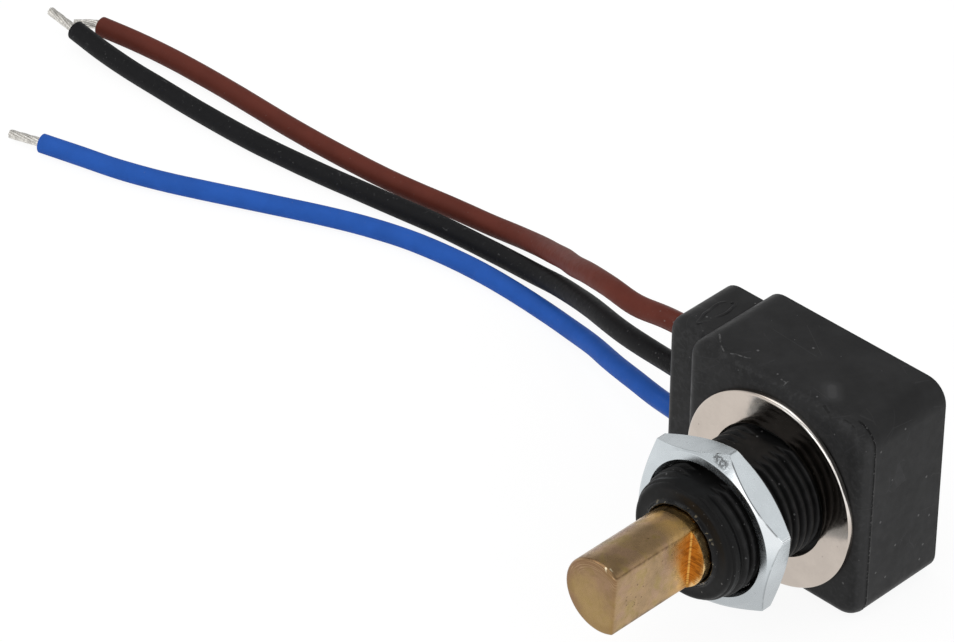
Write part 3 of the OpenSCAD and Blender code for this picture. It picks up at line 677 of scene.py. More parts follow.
def skinned(name, rings, closed=False):
    """An object whose quads join neighbouring rings of equal length. Its ends may be closed."""
    count = len(rings[0])
    points = [p for ring in rings for p in ring]
    faces = []
    for i in range(len(rings) - 1):
        for k in range(count):
            a, b = i * count + k, i * count + (k + 1) % count
            faces.append((a, b, b + count, a + count))
    if closed:
        faces.append(tuple(range(count)))
        faces.append(tuple((len(rings) - 1) * count + k for k in range(count)))
    return link_mesh(name, mesh_from(name, points, faces))


def box_piece(name, low, high):
    """A plain box."""
    points = [(x, y, z) for x in (low[0], high[0]) for y in (low[1], high[1]) for z in (low[2], high[2])]
    faces = [(0, 1, 3, 2), (4, 6, 7, 5), (0, 4, 5, 1), (2, 3, 7, 6), (0, 2, 6, 4), (1, 5, 7, 3)]
    return link_mesh(name, mesh_from(name, points, faces))


def boolean(piece, other, operation):
    """Joins a piece with another or cuts it by that, which is then deleted."""
    modifier = piece.modifiers.new(operation.lower(), "BOOLEAN")
    modifier.operation = operation
    modifier.solver = "EXACT"
    modifier.object = other
    bpy.context.view_layer.update()
    ready = piece.evaluated_get(bpy.context.evaluated_depsgraph_get())
    mesh = bpy.data.meshes.new_from_object(ready)
    piece.modifiers.clear()
    piece.data = mesh
    bpy.data.objects.remove(other)


def smooth(piece, degrees):
    """Smooth shading with edges kept sharp past an angle."""
    piece.data.shade_smooth()
    piece.data.set_sharp_from_angle(angle=math.radians(degrees))


def dress(piece, finish, body, slot, *nodes):
    """Gives a piece its finish and its body, and hides the CAD nodes that it stands for; its record slot is
    not used.
    """
    piece.data.materials.clear()
    piece.data.materials.append(finish_of(finish))
    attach(piece, body)
    if nodes:
        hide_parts(*nodes)


def store(piece, name, values):
    """Stores one value for each point of a piece."""
    layer = piece.data.attributes.new(name, "FLOAT", "POINT")
    layer.data.foreach_set("value", np.asarray(values, dtype=np.float32))


def coordinates(piece):
    """The coordinates x, y and z of a piece's points, as three arrays."""
    places = np.empty(len(piece.data.vertices) * 3, dtype=np.float32)
    piece.data.vertices.foreach_get("co", places)
    return places.reshape(-1, 3).T


def held(values):
    """Values held between 0 and 1."""
    return np.clip(values, 0.0, 1.0)


def turns(count):
    """The angles of so many even steps round a circle."""
    return [2 * math.pi * k / count for k in range(count)]


def quarter(steps, first=0):
    """Shares of the inset and of the way along at each step round a quarter circle."""
    leans = [math.pi / 2 * k / steps for k in range(first, steps + 1)]
    return [(1 - math.sin(lean), 1 - math.cos(lean)) for lean in leans]


def circle_ring(radius, y, count, x=0.0, z=0.0):
    """Points of a circle about an axis along Y."""
    return [(x + radius * math.cos(turn), y, z + radius * math.sin(turn)) for turn in turns(count)]


def rounded_outline(low, high, radius, per_corner=9, per_side=6):
    """Points (x, z) of a rectangle with rounded corners, as many for any size."""
    corners = ((high[0], high[1], 0), (low[0], high[1], 90), (low[0], low[1], 180), (high[0], low[1], 270))
    arcs = []
    for x, z, start in corners:
        cx = x - radius if x == high[0] else x + radius
        cz = z - radius if z == high[1] else z + radius
        leans = [math.radians(start + 90 * k / (per_corner - 1)) for k in range(per_corner)]
        arcs.append([(cx + radius * math.cos(lean), cz + radius * math.sin(lean)) for lean in leans])
    outline = []
    for i, arc in enumerate(arcs):
        outline += arc
        end, start = Vector(arc[-1]), Vector(arcs[(i + 1) % 4][0])
        for k in range(1, per_side):
            outline.append(tuple(end.lerp(start, k / per_side)))
    return outline


def inset_ring(low, high, inset, y, radius):
    """A rounded rectangle at y, set in from the box between two corners."""
    outline = rounded_outline((low.x + inset, low.z + inset), (high.x - inset, high.z - inset), radius)
    return [(x, y, z) for x, z in outline]


BACK_CHAMFER = 0.12 * MM
# The seam's low ridge across its width: the share of the width and the share of the height
SEAM_RIDGE = ((0.0, 0.0), (0.25, 0.8), (0.5, 1.0), (0.75, 0.8), (1.0, 0.0))


def moulded_rings(low, high, corner, edge, seam=None):
    """Rings of a moulded block: flat front, rounded front edge, a seam on the right, square back."""
    def ring(inset, y, lift=0.0):
        radius = max(corner - inset, 0.05 * MM)
        return [(x + lift * max(0.0, (x - high.x + corner) / corner), y, z)
                for x, y, z in inset_ring(low, high, inset, y, radius)]

    steps = 10
    rings = []
    for k, (aside, along) in enumerate(quarter(steps)):
        inset, y = edge * aside, low.y + edge * along
        if seam and k == steps - 1:
            width, height = seam
            for share, lift in SEAM_RIDGE:
                rings.append(ring((1 - share) * inset, y + share * width, lift * height))
            rings.append(ring(0, y + 1.4 * width))
        elif not seam or k < steps - 1:
            rings.append(ring(inset, y))
    depth = high.y - BACK_CHAMFER
    start = rings[-1][0][1]
    rings += [ring(0, start + (depth - start) * k / 5) for k in range(1, 6)]
    rings.append(ring(BACK_CHAMFER, high.y))
    return rings


def rounded_path(points, steps):
    """A smooth path through the given points, with so many steps between neighbours."""
    p = np.array(points, dtype=float)
    ends = np.vstack([2 * p[0] - p[1], p, 2 * p[-1] - p[-2]])
    path = []
    for a, b, c, d in zip(ends, ends[1:], ends[2:], ends[3:]):
        for k in range(steps):
            t = k / steps
            path.append(0.5 * (2 * b + (c - a) * t + (2 * a - 5 * b + 4 * c - d) * t ** 2
                               + (3 * b - a - 3 * c + d) * t ** 3))
    path.append(p[-1])
    return [tuple(q) for q in path]


def path_curve(name, path):
    """A curve object of one open line of points."""
    curve = bpy.data.curves.new(name, "CURVE")
    curve.dimensions = "3D"
    line = curve.splines.new("POLY")
    line.points.add(len(path) - 1)
    for point, place in zip(line.points, path):
        point.co = (*place, 1.0)
    piece = bpy.data.objects.new(name, curve)
    bpy.context.scene.collection.objects.link(piece)
    return piece


def sagging(path, middle, depth, width):
    """The path with a shallow dip, so deep at its middle, measured along x."""
    return [(x, y, z - depth * math.exp(-((x - middle) / width) ** 2)) for x, y, z in path]


class Geometry(Nodes):
    """Short calls that build one tree of Geometry Nodes."""

    def __init__(self, name, *inputs):
        super().__init__(bpy.data.node_groups.new(name, "GeometryNodeTree"))
        self.sockets = {}
        for label, kind in (("Geometry", "Geometry"),) + inputs + (("Material", "Material"),):
            made = self.tree.interface.new_socket(name=label, in_out="INPUT", socket_type="NodeSocket" + kind)
            self.sockets[label] = made.identifier
        self.tree.interface.new_socket(name="Geometry", in_out="OUTPUT", socket_type="NodeSocketGeometry")
        self.given = self.add("NodeGroupInput").outputs

    def ring(self, radius, sides):
        """A circle as a curve."""
        return self.add("GeometryNodeCurvePrimitiveCircle", {"Resolution": sides, "Radius": radius},
                        mode="RADIUS").outputs["Curve"]

    def sweep(self, path, section):
        """A closed tube with a section along a path."""
        return self.add("GeometryNodeCurveToMesh", {"Curve": path, "Profile Curve": section,
                                                    "Fill Caps": True}).outputs["Mesh"]

    def noted(self, shape, name, value):
        """A shape with a value stored at each of its points."""
        return self.add("GeometryNodeStoreNamedAttribute",
                        {"Geometry": shape, "Name": name, "Value": value},
                        data_type="FLOAT", domain="POINT").outputs["Geometry"]

    def moved(self, shape, **where):
        """A shape whose points get another Position or an Offset."""
        return self.add("GeometryNodeSetPosition", {"Geometry": shape, **where}).outputs["Geometry"]

    def finish(self, shape):
        """Ends the tree in real geometry that has the given material."""
        real = self.add("GeometryNodeRealizeInstances", {"Geometry": shape})
        painted = self.add("GeometryNodeSetMaterial", {"Geometry": real.outputs["Geometry"],
                                                       "Material": self.given["Material"]})
        self.add("NodeGroupOutput", {"Geometry": painted.outputs["Geometry"]})
        return self

    def run(self, name, source, values):
        """A plain mesh piece that the tree makes from a source object, which is deleted."""
        modifier = source.modifiers.new(name, "NODES")
        modifier.node_group = self.tree
        for label, value in values.items():
            modifier[self.sockets[label]] = value
        bpy.context.view_layer.update()
        graph = bpy.context.evaluated_depsgraph_get()
        mesh = bpy.data.meshes.new_from_object(source.evaluated_get(graph), preserve_all_data_layers=True,
                                               depsgraph=graph)
        bpy.data.objects.remove(source)
        return link_mesh(name, mesh)


def lead_tree():
    """Nodes that sweep a round skin along a lead's path and note places along and around it."""
    g = Geometry("lead_skin", ("Radius", "Float"), ("Sides", "Int"), ("Uneven", "Float"))
    run = g.add("GeometryNodeSplineParameter").outputs
    path = g.noted(g.given["Geometry"], "along", g.times(run["Length"], 1000.0))
    section = g.noted(g.ring(g.given["Radius"], g.given["Sides"]), "around", run["Factor"])
    wobble = g.add("ShaderNodeTexNoise", {"Scale": 260.0, "Detail": 1.0}).outputs["Fac"]
    swell = g.times(g.minus(wobble, 0.5), g.given["Uneven"])
    normal = g.add("GeometryNodeInputNormal").outputs["Normal"]
    return g.finish(g.moved(g.sweep(path, section), Offset=g.scaled(normal, swell)))


def strand_tree():
    """Nodes that twist a bundle of thin strands about a path, round a plain core."""
    strand_share, strand_place, core_share = 0.36, 0.64, 0.72
    g = Geometry("twisted_strands", ("Radius", "Float"), ("Count", "Int"), ("Turns", "Float"))
    path, radius, count = g.given["Geometry"], g.given["Radius"], g.given["Count"]
    copies = g.add("GeometryNodeDuplicateElements", {"Geometry": path, "Amount": count},
                   domain="SPLINE").outputs
    factor = g.add("GeometryNodeSplineParameter").outputs["Factor"]
    wound = g.plus(g.math("DIVIDE", copies["Duplicate Index"], count), g.times(factor, g.given["Turns"]))
    tangent = g.add("GeometryNodeInputTangent").outputs["Tangent"]
    side = g.vector("NORMALIZE", g.vector("CROSS_PRODUCT", tangent, (0.0, 0.0, 1.0)), (0.0, 0.0, 0.0))
    turned = g.add("ShaderNodeVectorRotate",
                   {"Vector": g.scaled(side, g.times(radius, strand_place)), "Axis": tangent,
                    "Angle": g.times(wound, 2 * math.pi)}, rotation_type="AXIS_ANGLE")
    strands = g.moved(copies["Geometry"], Offset=turned.outputs["Vector"])
    both = g.add("GeometryNodeJoinGeometry")
    for line, share, sides in ((path, core_share, 16), (strands, strand_share, 12)):
        tube = g.sweep(line, g.ring(g.times(radius, share), sides))
        g.tree.links.new(tube, both.inputs["Geometry"])
    return g.finish(both.outputs["Geometry"])


def thread_tree():
    """Nodes that roll a grid into a screw thread about Y, cut off by a cone at the mouth."""
    labels = ("Crest", "Root", "Pitch", "Length", "Run In", "Mouth", "Flat")
    g = Geometry("rolled_thread", *[(label, "Float") for label in labels])
    crest, root, pitch, length, run_in, mouth, flat = [g.given[label] for label in labels]
    place = g.add("GeometryNodeInputPosition").outputs["Position"]
    turn = g.plus(g.part(place, "X"), 0.5)
    along = g.times(g.plus(g.part(place, "Y"), 0.5), length)
    wound = g.minus(g.math("DIVIDE", along, pitch), turn)
    phase = g.math("FRACT", g.plus(wound, 0.5))
    ridge = g.math("ABSOLUTE", g.minus(g.times(phase, 2.0), 1.0))
    depth = g.minus(crest, root)
    to_mouth = g.minus(length, along)
    grown = g.add("ShaderNodeMapRange", {"Value": to_mouth, "From Min": run_in,
                                         "From Max": g.plus(run_in, pitch)}).outputs["Result"]
    height = g.add("ShaderNodeMix", {0: grown, 2: g.times(depth, 0.42),
                                     3: g.times(g.span(ridge, 0.18, 0.84), depth)}).outputs[0]
    cone = g.plus(mouth, g.times(to_mouth, 1.4))
    radius = g.math("MINIMUM", g.plus(root, height), cone)
    angle = g.times(turn, 2 * math.pi)
    lift = g.math("MINIMUM", g.times(radius, g.math("SINE", angle)), flat)
    point = g.add("ShaderNodeCombineXYZ", {"X": g.times(radius, g.math("COSINE", angle)),
                                           "Y": g.times(along, -1.0), "Z": lift}).outputs["Vector"]
    rolled = g.moved(g.given["Geometry"], Position=point)
    closed = g.add("GeometryNodeMergeByDistance", {"Geometry": rolled, "Distance": 1e-6})
    return g.finish(closed.outputs["Geometry"])


def grid_source(name, around, along):
    """A flat grid from -0.5 to 0.5 that a tree rolls up."""
    mesh = bpy.data.meshes.new(name)
    work = bmesh.new()
    bmesh.ops.create_grid(work, x_segments=around, y_segments=along, size=0.5)
    work.to_mesh(mesh)
    work.free()
    return link_mesh(name, mesh)


class POT_OT_stage(bpy.types.Operator):
    """Make the camera, the white floor and the soft studio light"""

    bl_idname = "pot.stage"
    bl_label = "Stage"

    def execute(self, context):
        self.camera(context.scene)
        self.floor()
        self.world(context.scene)
        self.lamps()
        context.scene.view_settings.view_transform = "Standard"
        return {"FINISHED"}

    def camera(self, scene):
        """The camera that sees the object as the photograph does."""
        view = scene.pot_view
        a, e, r = view.azimuth, view.elevation, view.roll
        back = Vector((math.sin(a) * math.cos(e), -math.cos(a) * math.cos(e), math.sin(e)))
        level = Vector((math.cos(a), math.sin(a), 0.0))
        above = back.cross(level)
        right = math.cos(r) * level + math.sin(r) * above
        up = -math.sin(r) * level + math.cos(r) * above
        place = view.middle_right * right + view.middle_up * up + back * view.distance
        camera = bpy.data.cameras.new("camera")
        camera.sensor_width = SENSOR
        camera.lens = view.focal_pixels / IMAGE_WIDTH * SENSOR
        camera.clip_start = 0.01
        camera.clip_end = 20.0
        holder = bpy.data.objects.new("camera", camera)
        holder.matrix_world = Matrix((
            (right.x, up.x, back.x, place.x), (right.y, up.y, back.y, place.y),
            (right.z, up.z, back.z, place.z), (0, 0, 0, 1)))
        scene.collection.objects.link(holder)
        scene.camera = holder

    def floor(self):
        """The pale floor, which glows only for the camera and in mirror images."""
        size, low, pale, glow_strength, glow_share = 3.0, HOUSING_LOW.z, 0.86, 1.06, 0.86
        corners = [(-size, -size, low), (size, -size, low), (size, size, low), (-size, size, low)]
        floor = link_mesh("floor", mesh_from("floor", corners, [(0, 1, 2, 3)]))
        material = bpy.data.materials.new("pale_floor")
        g = Nodes(empty_tree(material))
        rays = g.add("ShaderNodeLightPath").outputs
        seen = g.most(rays["Is Camera Ray"], rays["Is Glossy Ray"], rays["Is Transmission Ray"])
        matt = g.add("ShaderNodeBsdfDiffuse", {"Color": paint((pale, pale, pale))})
        glow = g.add("ShaderNodeEmission", {"Strength": glow_strength})
        blend = g.add("ShaderNodeMixShader", {0: g.times(seen, glow_share), 1: matt.outputs[0],
                                              2: glow.outputs[0]})
        g.add("ShaderNodeOutputMaterial", {"Surface": blend.outputs[0]})
        floor.data.materials.append(material)

    def world(self, scene):
        """The white studio all round. Mirror images see it darker higher up."""
        scene.world = bpy.data.worlds.new("studio")
        g = Nodes(empty_tree(scene.world))
        rays = g.add("ShaderNodeLightPath").outputs
        seen = g.most(rays["Is Camera Ray"], rays["Is Transmission Ray"])
        level = g.add("ShaderNodeMapRange", {"Value": seen, "To Min": 0.62, "To Max": 1.0})
        height = g.part(g.add("ShaderNodeTexCoord").outputs["Generated"], "Z")
        mirrored = g.span(height, 0.22, 0.50, 1.0, 0.50)
        strength = g.add("ShaderNodeMix", {0: rays["Is Glossy Ray"], 2: level.outputs["Result"],
                                           3: mirrored}).outputs[0]
        sky = g.add("ShaderNodeBackground", {"Strength": strength})
        g.add("ShaderNodeOutputWorld", {"Surface": sky.outputs[0]})

    def lamps(self):
        """The lamps, all turned to the origin."""
        for name, place, size, watts in LAMPS:
            lamp = bpy.data.lights.new(name, "AREA")
            lamp.size = size
            lamp.energy = watts
            holder = bpy.data.objects.new(name, lamp)
            holder.location = place
            holder.rotation_euler = (-Vector(place)).to_track_quat("-Z", "Y").to_euler()
            bpy.context.scene.collection.objects.link(holder)


class POT_OT_leads(bpy.types.Operator):
    """Make the three leads with their bare tinned ends"""

    bl_idname = "pot.leads"
    bl_label = "Leads"

    def execute(self, context):
        sizes = context.scene.pot_sizes
        skins, strands = lead_tree(), strand_tree()
        for colour in LEADS:
            path = rounded_path(ROUTES[colour], 6)
            lead = skins.run(
                "lead_" + colour + "_skin", path_curve("route", sagging(path, *SAGS[colour])),
                {"Radius": sizes.lead_radius * THICKNESS[colour], "Sides": 32, "Uneven": 0.03 * MM,
                 "Material": finish_of(colour + "_sleeve")})
            smooth(lead, 50)
            dress(lead, colour + "_sleeve", "case", colour + "_insulation", "lead_" + colour)
            bare = self.bare_end(colour, path, sizes, strands)
        return {"FINISHED"}

    def bare_end(self, colour, path, sizes, strands):
        """The bare end of a lead, which starts a little inside its insulation."""
        end = Vector(path[-1])
        along = (end - Vector(path[-2])).normalized()
        inside, outside = 0.4 * MM, 0.6 * MM
        path = rounded_path([end - inside * along, end + outside * along, Vector(TIPS[colour])], 8)
        bare = strands.run(
            "strand_" + colour + "_tinned", path_curve("tip", path),
            {"Radius": sizes.strand_radius, "Count": 7, "Turns": 0.45,
             "Material": finish_of("tinned_strand")})
        smooth(bare, 40)
        dress(bare, "tinned_strand", "case", "tinned", "strand_" + colour)
        return bare


class POT_OT_housing(bpy.types.Operator):
    """Make the moulded housing with its side block and its threaded bushing"""

    bl_idname = "pot.housing"
    bl_label = "Housing"

    def execute(self, context):
        sizes = context.scene.pot_sizes
        self.shell(sizes)
        self.bushing(sizes)
        self.gate_scar(sizes)
        return {"FINISHED"}

    def shell(self, sizes):
        """The body with its side block, hollow at the back."""
        low = Vector((-HOUSING_HIGH.x, 0.0, HOUSING_LOW.z))
        high = Vector(HOUSING_HIGH)
        seam_width, seam_height = 0.24 * MM, 0.045 * MM
        recess, overlap, slot_half = 0.9 * MM, 0.1 * MM, 5.4 * MM
        wall, block_wall = sizes.side_wall, sizes.block_wall
        shell = skinned("housing_shell", moulded_rings(
            low, high, sizes.corner, sizes.front_round, (seam_width, seam_height)), True)
        half = sizes.block_height / 2
        block_low = Vector((HOUSING_LOW.x, high.y - sizes.block_depth, sizes.body_lift - half))
        block_high = Vector((low.x + 2 * sizes.block_corner, high.y, sizes.body_lift + half))
        block = skinned("block", moulded_rings(
            block_low, block_high, sizes.block_corner, sizes.block_round), True)
        boolean(shell, block, "UNION")
        floor, top = high.y - recess, high.y + recess
        for name, start, end in (
                ("tray", (low.x + wall, floor, low.z + wall), (high.x - wall, top, high.z - wall)),
                ("well", (block_low.x + block_wall, floor, block_low.z + block_wall),
                 (low.x + overlap, top, block_high.z - block_wall)),
                ("slot", (low.x, floor, -slot_half), (low.x + 2 * wall, top, slot_half))):
            boolean(shell, box_piece(name, start, end), "DIFFERENCE")
        x, y = coordinates(shell)[:2]
        # The front fillet and the block's step, which the finish wears and also paints lighter as a highlight
        worn_at, worn_width, step_width = 0.3 * MM, 1.1 * MM, 0.8 * MM
        front = held(1.0 - np.abs(y - worn_at) / worn_width)
        step = held(1.0 - np.abs(y - block_low.y) / step_width)
        store(shell, "edge", np.maximum(front, step * (x < low.x)))
        # The seam's middle, which the finish paints near black as shade and speckles with lighter flash
        seam_y = low.y + 0.84 * sizes.front_round + 0.5 * seam_width
        on_side = x > high.x - 1.5 * sizes.front_round
        store(shell, "seam", on_side * (np.abs(y - seam_y) < 0.3 * seam_width))
        smooth(shell, 32)
        dress(shell, "moulded_black", "case", "black_plastic", "housing")

    def bushing(self, sizes):
        """The rolled thread, and the bore with its rounded mouth and its uneven lip."""
        reach = -HOUSING_LOW.y
        around, per_turn = 160, 16
        rows = round(reach / sizes.thread_pitch * per_turn)
        mouth_round, over_root, run_in = 0.38 * MM, 0.02 * MM, 0.35 * MM
        lip_inset, lip_width, flat_width = 0.14 * MM, 0.22 * MM, 0.15 * MM
        start = sizes.thread_root + over_root
        threads = thread_tree().run(
            "bushing_thread", grid_source("thread_grid", around, rows),
            {"Crest": sizes.thread_crest, "Root": sizes.thread_root, "Pitch": sizes.thread_pitch,
             "Length": reach - mouth_round, "Run In": run_in, "Mouth": start,
             "Flat": sizes.thread_flat, "Material": finish_of("thread_plastic")})
        store(threads, "lip", np.zeros(len(threads.data.vertices)))
        smooth(threads, 60)
        dress(threads, "thread_plastic", "case", "black_plastic", "housing")
        lip = sizes.bore + lip_inset
        profile = [(start - mouth_round * along, mouth_round * aside) for aside, along in quarter(8)]
        profile.append((start - mouth_round - flat_width, 0.0))
        profile += [(lip + aside * MM, behind * MM) for aside, behind in LIP_PROFILE]
        profile += [(sizes.bore, 0.15 * MM), (sizes.bore, 2 * MM), (sizes.bore, reach)]
        rings = []
        for radius, behind in profile:
            ring = []
            for turn in turns(around):
                swell = 1.0
                if behind < 0:
                    swell += 0.14 * math.sin(3 * turn + 0.5) + 0.12 * math.sin(8 * turn)
                    swell += 0.08 * math.sin(17 * turn)
                ring.append((radius * math.cos(turn), behind * swell - reach,
                             min(radius * math.sin(turn), sizes.thread_flat)))
            rings.append(ring)
        mouth = skinned("bushing_mouth", rings)
        x, z = coordinates(mouth)[::2]
        store(mouth, "lip", held(1.4 - np.abs(np.hypot(x, z) - lip) / lip_width))
        smooth(mouth, 40)
        dress(mouth, "thread_plastic", "case", "black_plastic", "housing")

    def gate_scar(self, sizes):
        """The small, torn ring that the mould's gate left on the side block's top."""
        middle = Vector((-10.2 * MM, 5.1 * MM, sizes.body_lift + sizes.block_height / 2))
        long, wide, ridge, height, sunk = 1.75 * MM, 0.55 * MM, 0.13 * MM, 0.07 * MM, 0.01 * MM
        sections = []
        for turn in turns(64):
            spine = Vector((wide * math.cos(turn), long * math.sin(turn), 0.0))
            out = Vector((math.cos(turn) / wide, math.sin(turn) / long, 0.0)).normalized()
            wave = 0.75 + 0.55 * math.sin(2 * turn + 0.6) + 0.35 * math.sin(5 * turn + 1.1)
            spine *= 1.0 + 0.10 * math.sin(3 * turn) + 0.06 * math.sin(7 * turn + 0.8)
            leans = [math.pi * k / 6 for k in range(7)]
            sections.append([middle + spine + out * ridge * math.cos(lean)
                             + Vector((0, 0, height * wave * math.sin(lean) - sunk)) for lean in leans])
        sections.append(sections[0])
        scar = skinned("gate_scar", sections)
        store(scar, "edge", np.full(len(scar.data.vertices), 0.5))
        smooth(scar, 60)
        dress(scar, "moulded_black", "case", "black_plastic")


class POT_OT_back(bpy.types.Operator):
    """Make the rear cover and the cast resin beside it"""

    bl_idname = "pot.back"
    bl_label = "Back"

    def execute(self, context):
        self.cover()
        self.resin()
        return {"FINISHED"}

    def cover(self):
        """The rear cover with its fine seam and the marks of four pins."""
        low, high, corner = COVER_LOW, COVER_HIGH, 0.4 * MM
        rings = [inset_ring(low, high, 0.0, low.y, corner)]
        rings += [inset_ring(low, high, inset * MM, high.y - sunk * MM, corner)
                  for inset, sunk in COVER_PROFILE]
        cover = skinned("rear_cover_plate", rings, True)
        pin_radius, pin_depth = 1.0 * MM, 0.17 * MM
        for x, z in ((-4.6, 4.9), (4.6, 4.9), (4.6, -4.1), (-4.6, -4.1)):
            pin = [circle_ring(pin_radius, y, 32, x * MM, z * MM)
                   for y in (high.y - pin_depth, high.y + 1 * MM)]
            boolean(cover, skinned("pin", pin, True), "DIFFERENCE")
        y = coordinates(cover)[1]
        store(cover, "edge", (y > high.y - 0.02 * MM) * 0.5)
        smooth(cover, 30)
        dress(cover, "moulded_black", "case", "black_plastic", "rear_cover")

    def resin(self):
        """The resin behind the side block and in the slot beside the cover."""
        low, corner, width = RESIN_LOW, 0.35 * MM, 4.3 * MM
        high = Vector((HOUSING_LOW.x + width, RESIN_HIGH.y, RESIN_HIGH.z))
        rings = [inset_ring(low, high, 0.0, low.y, corner)]
        rings += [inset_ring(low, high, inset * MM, high.y - sunk * MM, corner)
                  for inset, sunk in RESIN_PROFILE]
        fill = skinned("potting_fill", rings, True)
        smooth(fill, 50)
        overlap, seam, sunk, half = 0.1 * MM, 0.02 * MM, 0.2 * MM, 5.3 * MM
        bridge = box_piece("potting_bridge", (high.x - overlap, low.y, -half),
                           (COVER_LOW.x - seam, high.y - sunk, half))
        smooth(bridge, 30)
        for piece in (fill, bridge):
            dress(piece, "cast_resin", "case", "resin", "potting")


class POT_OT_exits(bpy.types.Operator):
    """Make the resin that crept out round each lead"""

    bl_idname = "pot.exits"
    bl_label = "Lead exits"

    def execute(self, context):
        radius = context.scene.pot_sizes.lead_radius
        creep, skirt, film, steps = 0.9 * MM, 0.55 * MM, 0.012 * MM, 6
        core, sunk, tucked = 0.9 * radius, 0.02 * MM, 0.05 * MM
        for index, colour in enumerate(LEADS):
            x, y, z = ROUTES[colour][0]
            rings = []
            for k in range(steps + 1):
                t = k / steps
                ring = []
                for turn in turns(40):
                    wave = 1.0 + 0.22 * math.sin(2 * turn + index * 1.7) + 0.1 * math.sin(5 * turn + index)
                    r = 1.05 * radius + film + skirt * (1 - t) ** 2.2 * wave
                    ring.append((x - creep * t * (0.8 + 0.2 * wave), y + r * math.cos(turn),
                                 z + r * math.sin(turn)))
                rings.append(ring)
            outer = [(x + sunk, p[1], p[2]) for p in rings[0]]
            inner = [(p[0] + tucked, y + core * math.cos(turn), z + core * math.sin(turn))
                     for p, turn in zip(rings[-1], turns(40))]
            collar = skinned("resin_collar_" + colour, [outer] + rings + [inner])
            smooth(collar, 60)
            dress(collar, "cast_resin", "case", "resin")
        return {"FINISHED"}


class POT_OT_shaft(bpy.types.Operator):
    """Make the turned brass shaft with its flat"""

    bl_idname = "pot.shaft"
    bl_label = "Shaft"

    def execute(self, context):
        sizes = context.scene.pot_sizes
        radius, flat = SHAFT_HIGH.z, sizes.flat_offset
        front, back = SHAFT_LOW.y, SHAFT_HIGH.y
        shoulder = front + sizes.flat_length
        rim_line, worn, run_out, gilt = 0.09 * MM, 0.24 * MM, 0.16 * MM, 1.3 * MM
        rings = []

        def ring(limit, y, cut=None):
            """Adds a ring. A cut is the distance from the axis to its flat side."""
            points = []
            for turn in turns(144):
                across = math.cos(turn - sizes.flat_turn)
                reach = min(limit, cut / across) if cut and across > 0.01 else limit
                points.append((reach * math.cos(turn), y, reach * math.sin(turn)))
            rings.append(points)

        for share in (0.35, 0.75):
            ring(share * radius, front, flat - worn)
        for aside, along in quarter(6):
            ring(radius - worn * aside, front + worn * along, flat - worn * aside)
        start, length = front + worn, sizes.flat_length - worn - run_out
        for k in range(1, 17):
            ring(radius, start + length * k / 16, flat)
        for aside, along in quarter(5, 1):
            ring(radius, shoulder - run_out * aside, flat + run_out * along)
        for share in (0.45, 0.75, 0.96):
            ring(radius, shoulder, flat + (radius - flat) * share)
        ring(radius, shoulder + 0.3 * rim_line, radius - 0.2 * rim_line)
        for y in (shoulder + rim_line, shoulder + 1 * MM, shoulder + 4 * MM, -1 * MM, 2 * MM):
            ring(radius, y)
        groove, seat = 2.4 * MM, 2.0 * MM
        for limit, y in ((groove, 2.05 * MM), (groove, 2.65 * MM), (radius, 2.7 * MM),
                         (radius, 2.85 * MM), (seat, 2.86 * MM), (seat, back)):
            ring(limit, y)
        shaft = skinned("shaft_turned", rings, True)
        x, y, z = coordinates(shaft)
        facing = x * math.cos(sizes.flat_turn) + z * math.sin(sizes.flat_turn)
        radial = np.hypot(x, z)
        on_flat = (np.abs(facing - flat) < 0.03 * MM) & (y > front + 0.5 * worn)
        front_part = y < shoulder + 0.02 * MM
        # The shoulder face, and the flat near it, which the finish paints orange as bounced light
        near_shoulder = held((y - shoulder + gilt) / gilt) ** 1.5
        shoulder_face = front_part & (facing > flat - 0.02 * MM) & (y > shoulder - 2 * run_out)
        store(shaft, "fresh", np.where(shoulder_face, 1.0, np.where(on_flat, near_shoulder, 0.0)))
        store(shaft, "edge", front_part * on_flat * (radial > radius - 0.12 * MM) * (1 - near_shoulder))
        store(shaft, "polish", (y > shoulder - 0.01 * MM) * 1.0)
        store(shaft, "end", held(1.3 - (y - front) / worn))
        # The shoulder's rim on the flat's side, which the finish paints light as a highlight
        at_rim = (y > shoulder - 0.01 * MM) & (y < shoulder + 1.01 * rim_line)
        store(shaft, "bright", at_rim & (facing > radius * 0.6) & (radial > radius - 0.1 * MM))
        smooth(shaft, 25)
        dress(shaft, "aged_brass", "turning_shaft", "brass", "shaft")
        return {"FINISHED"}


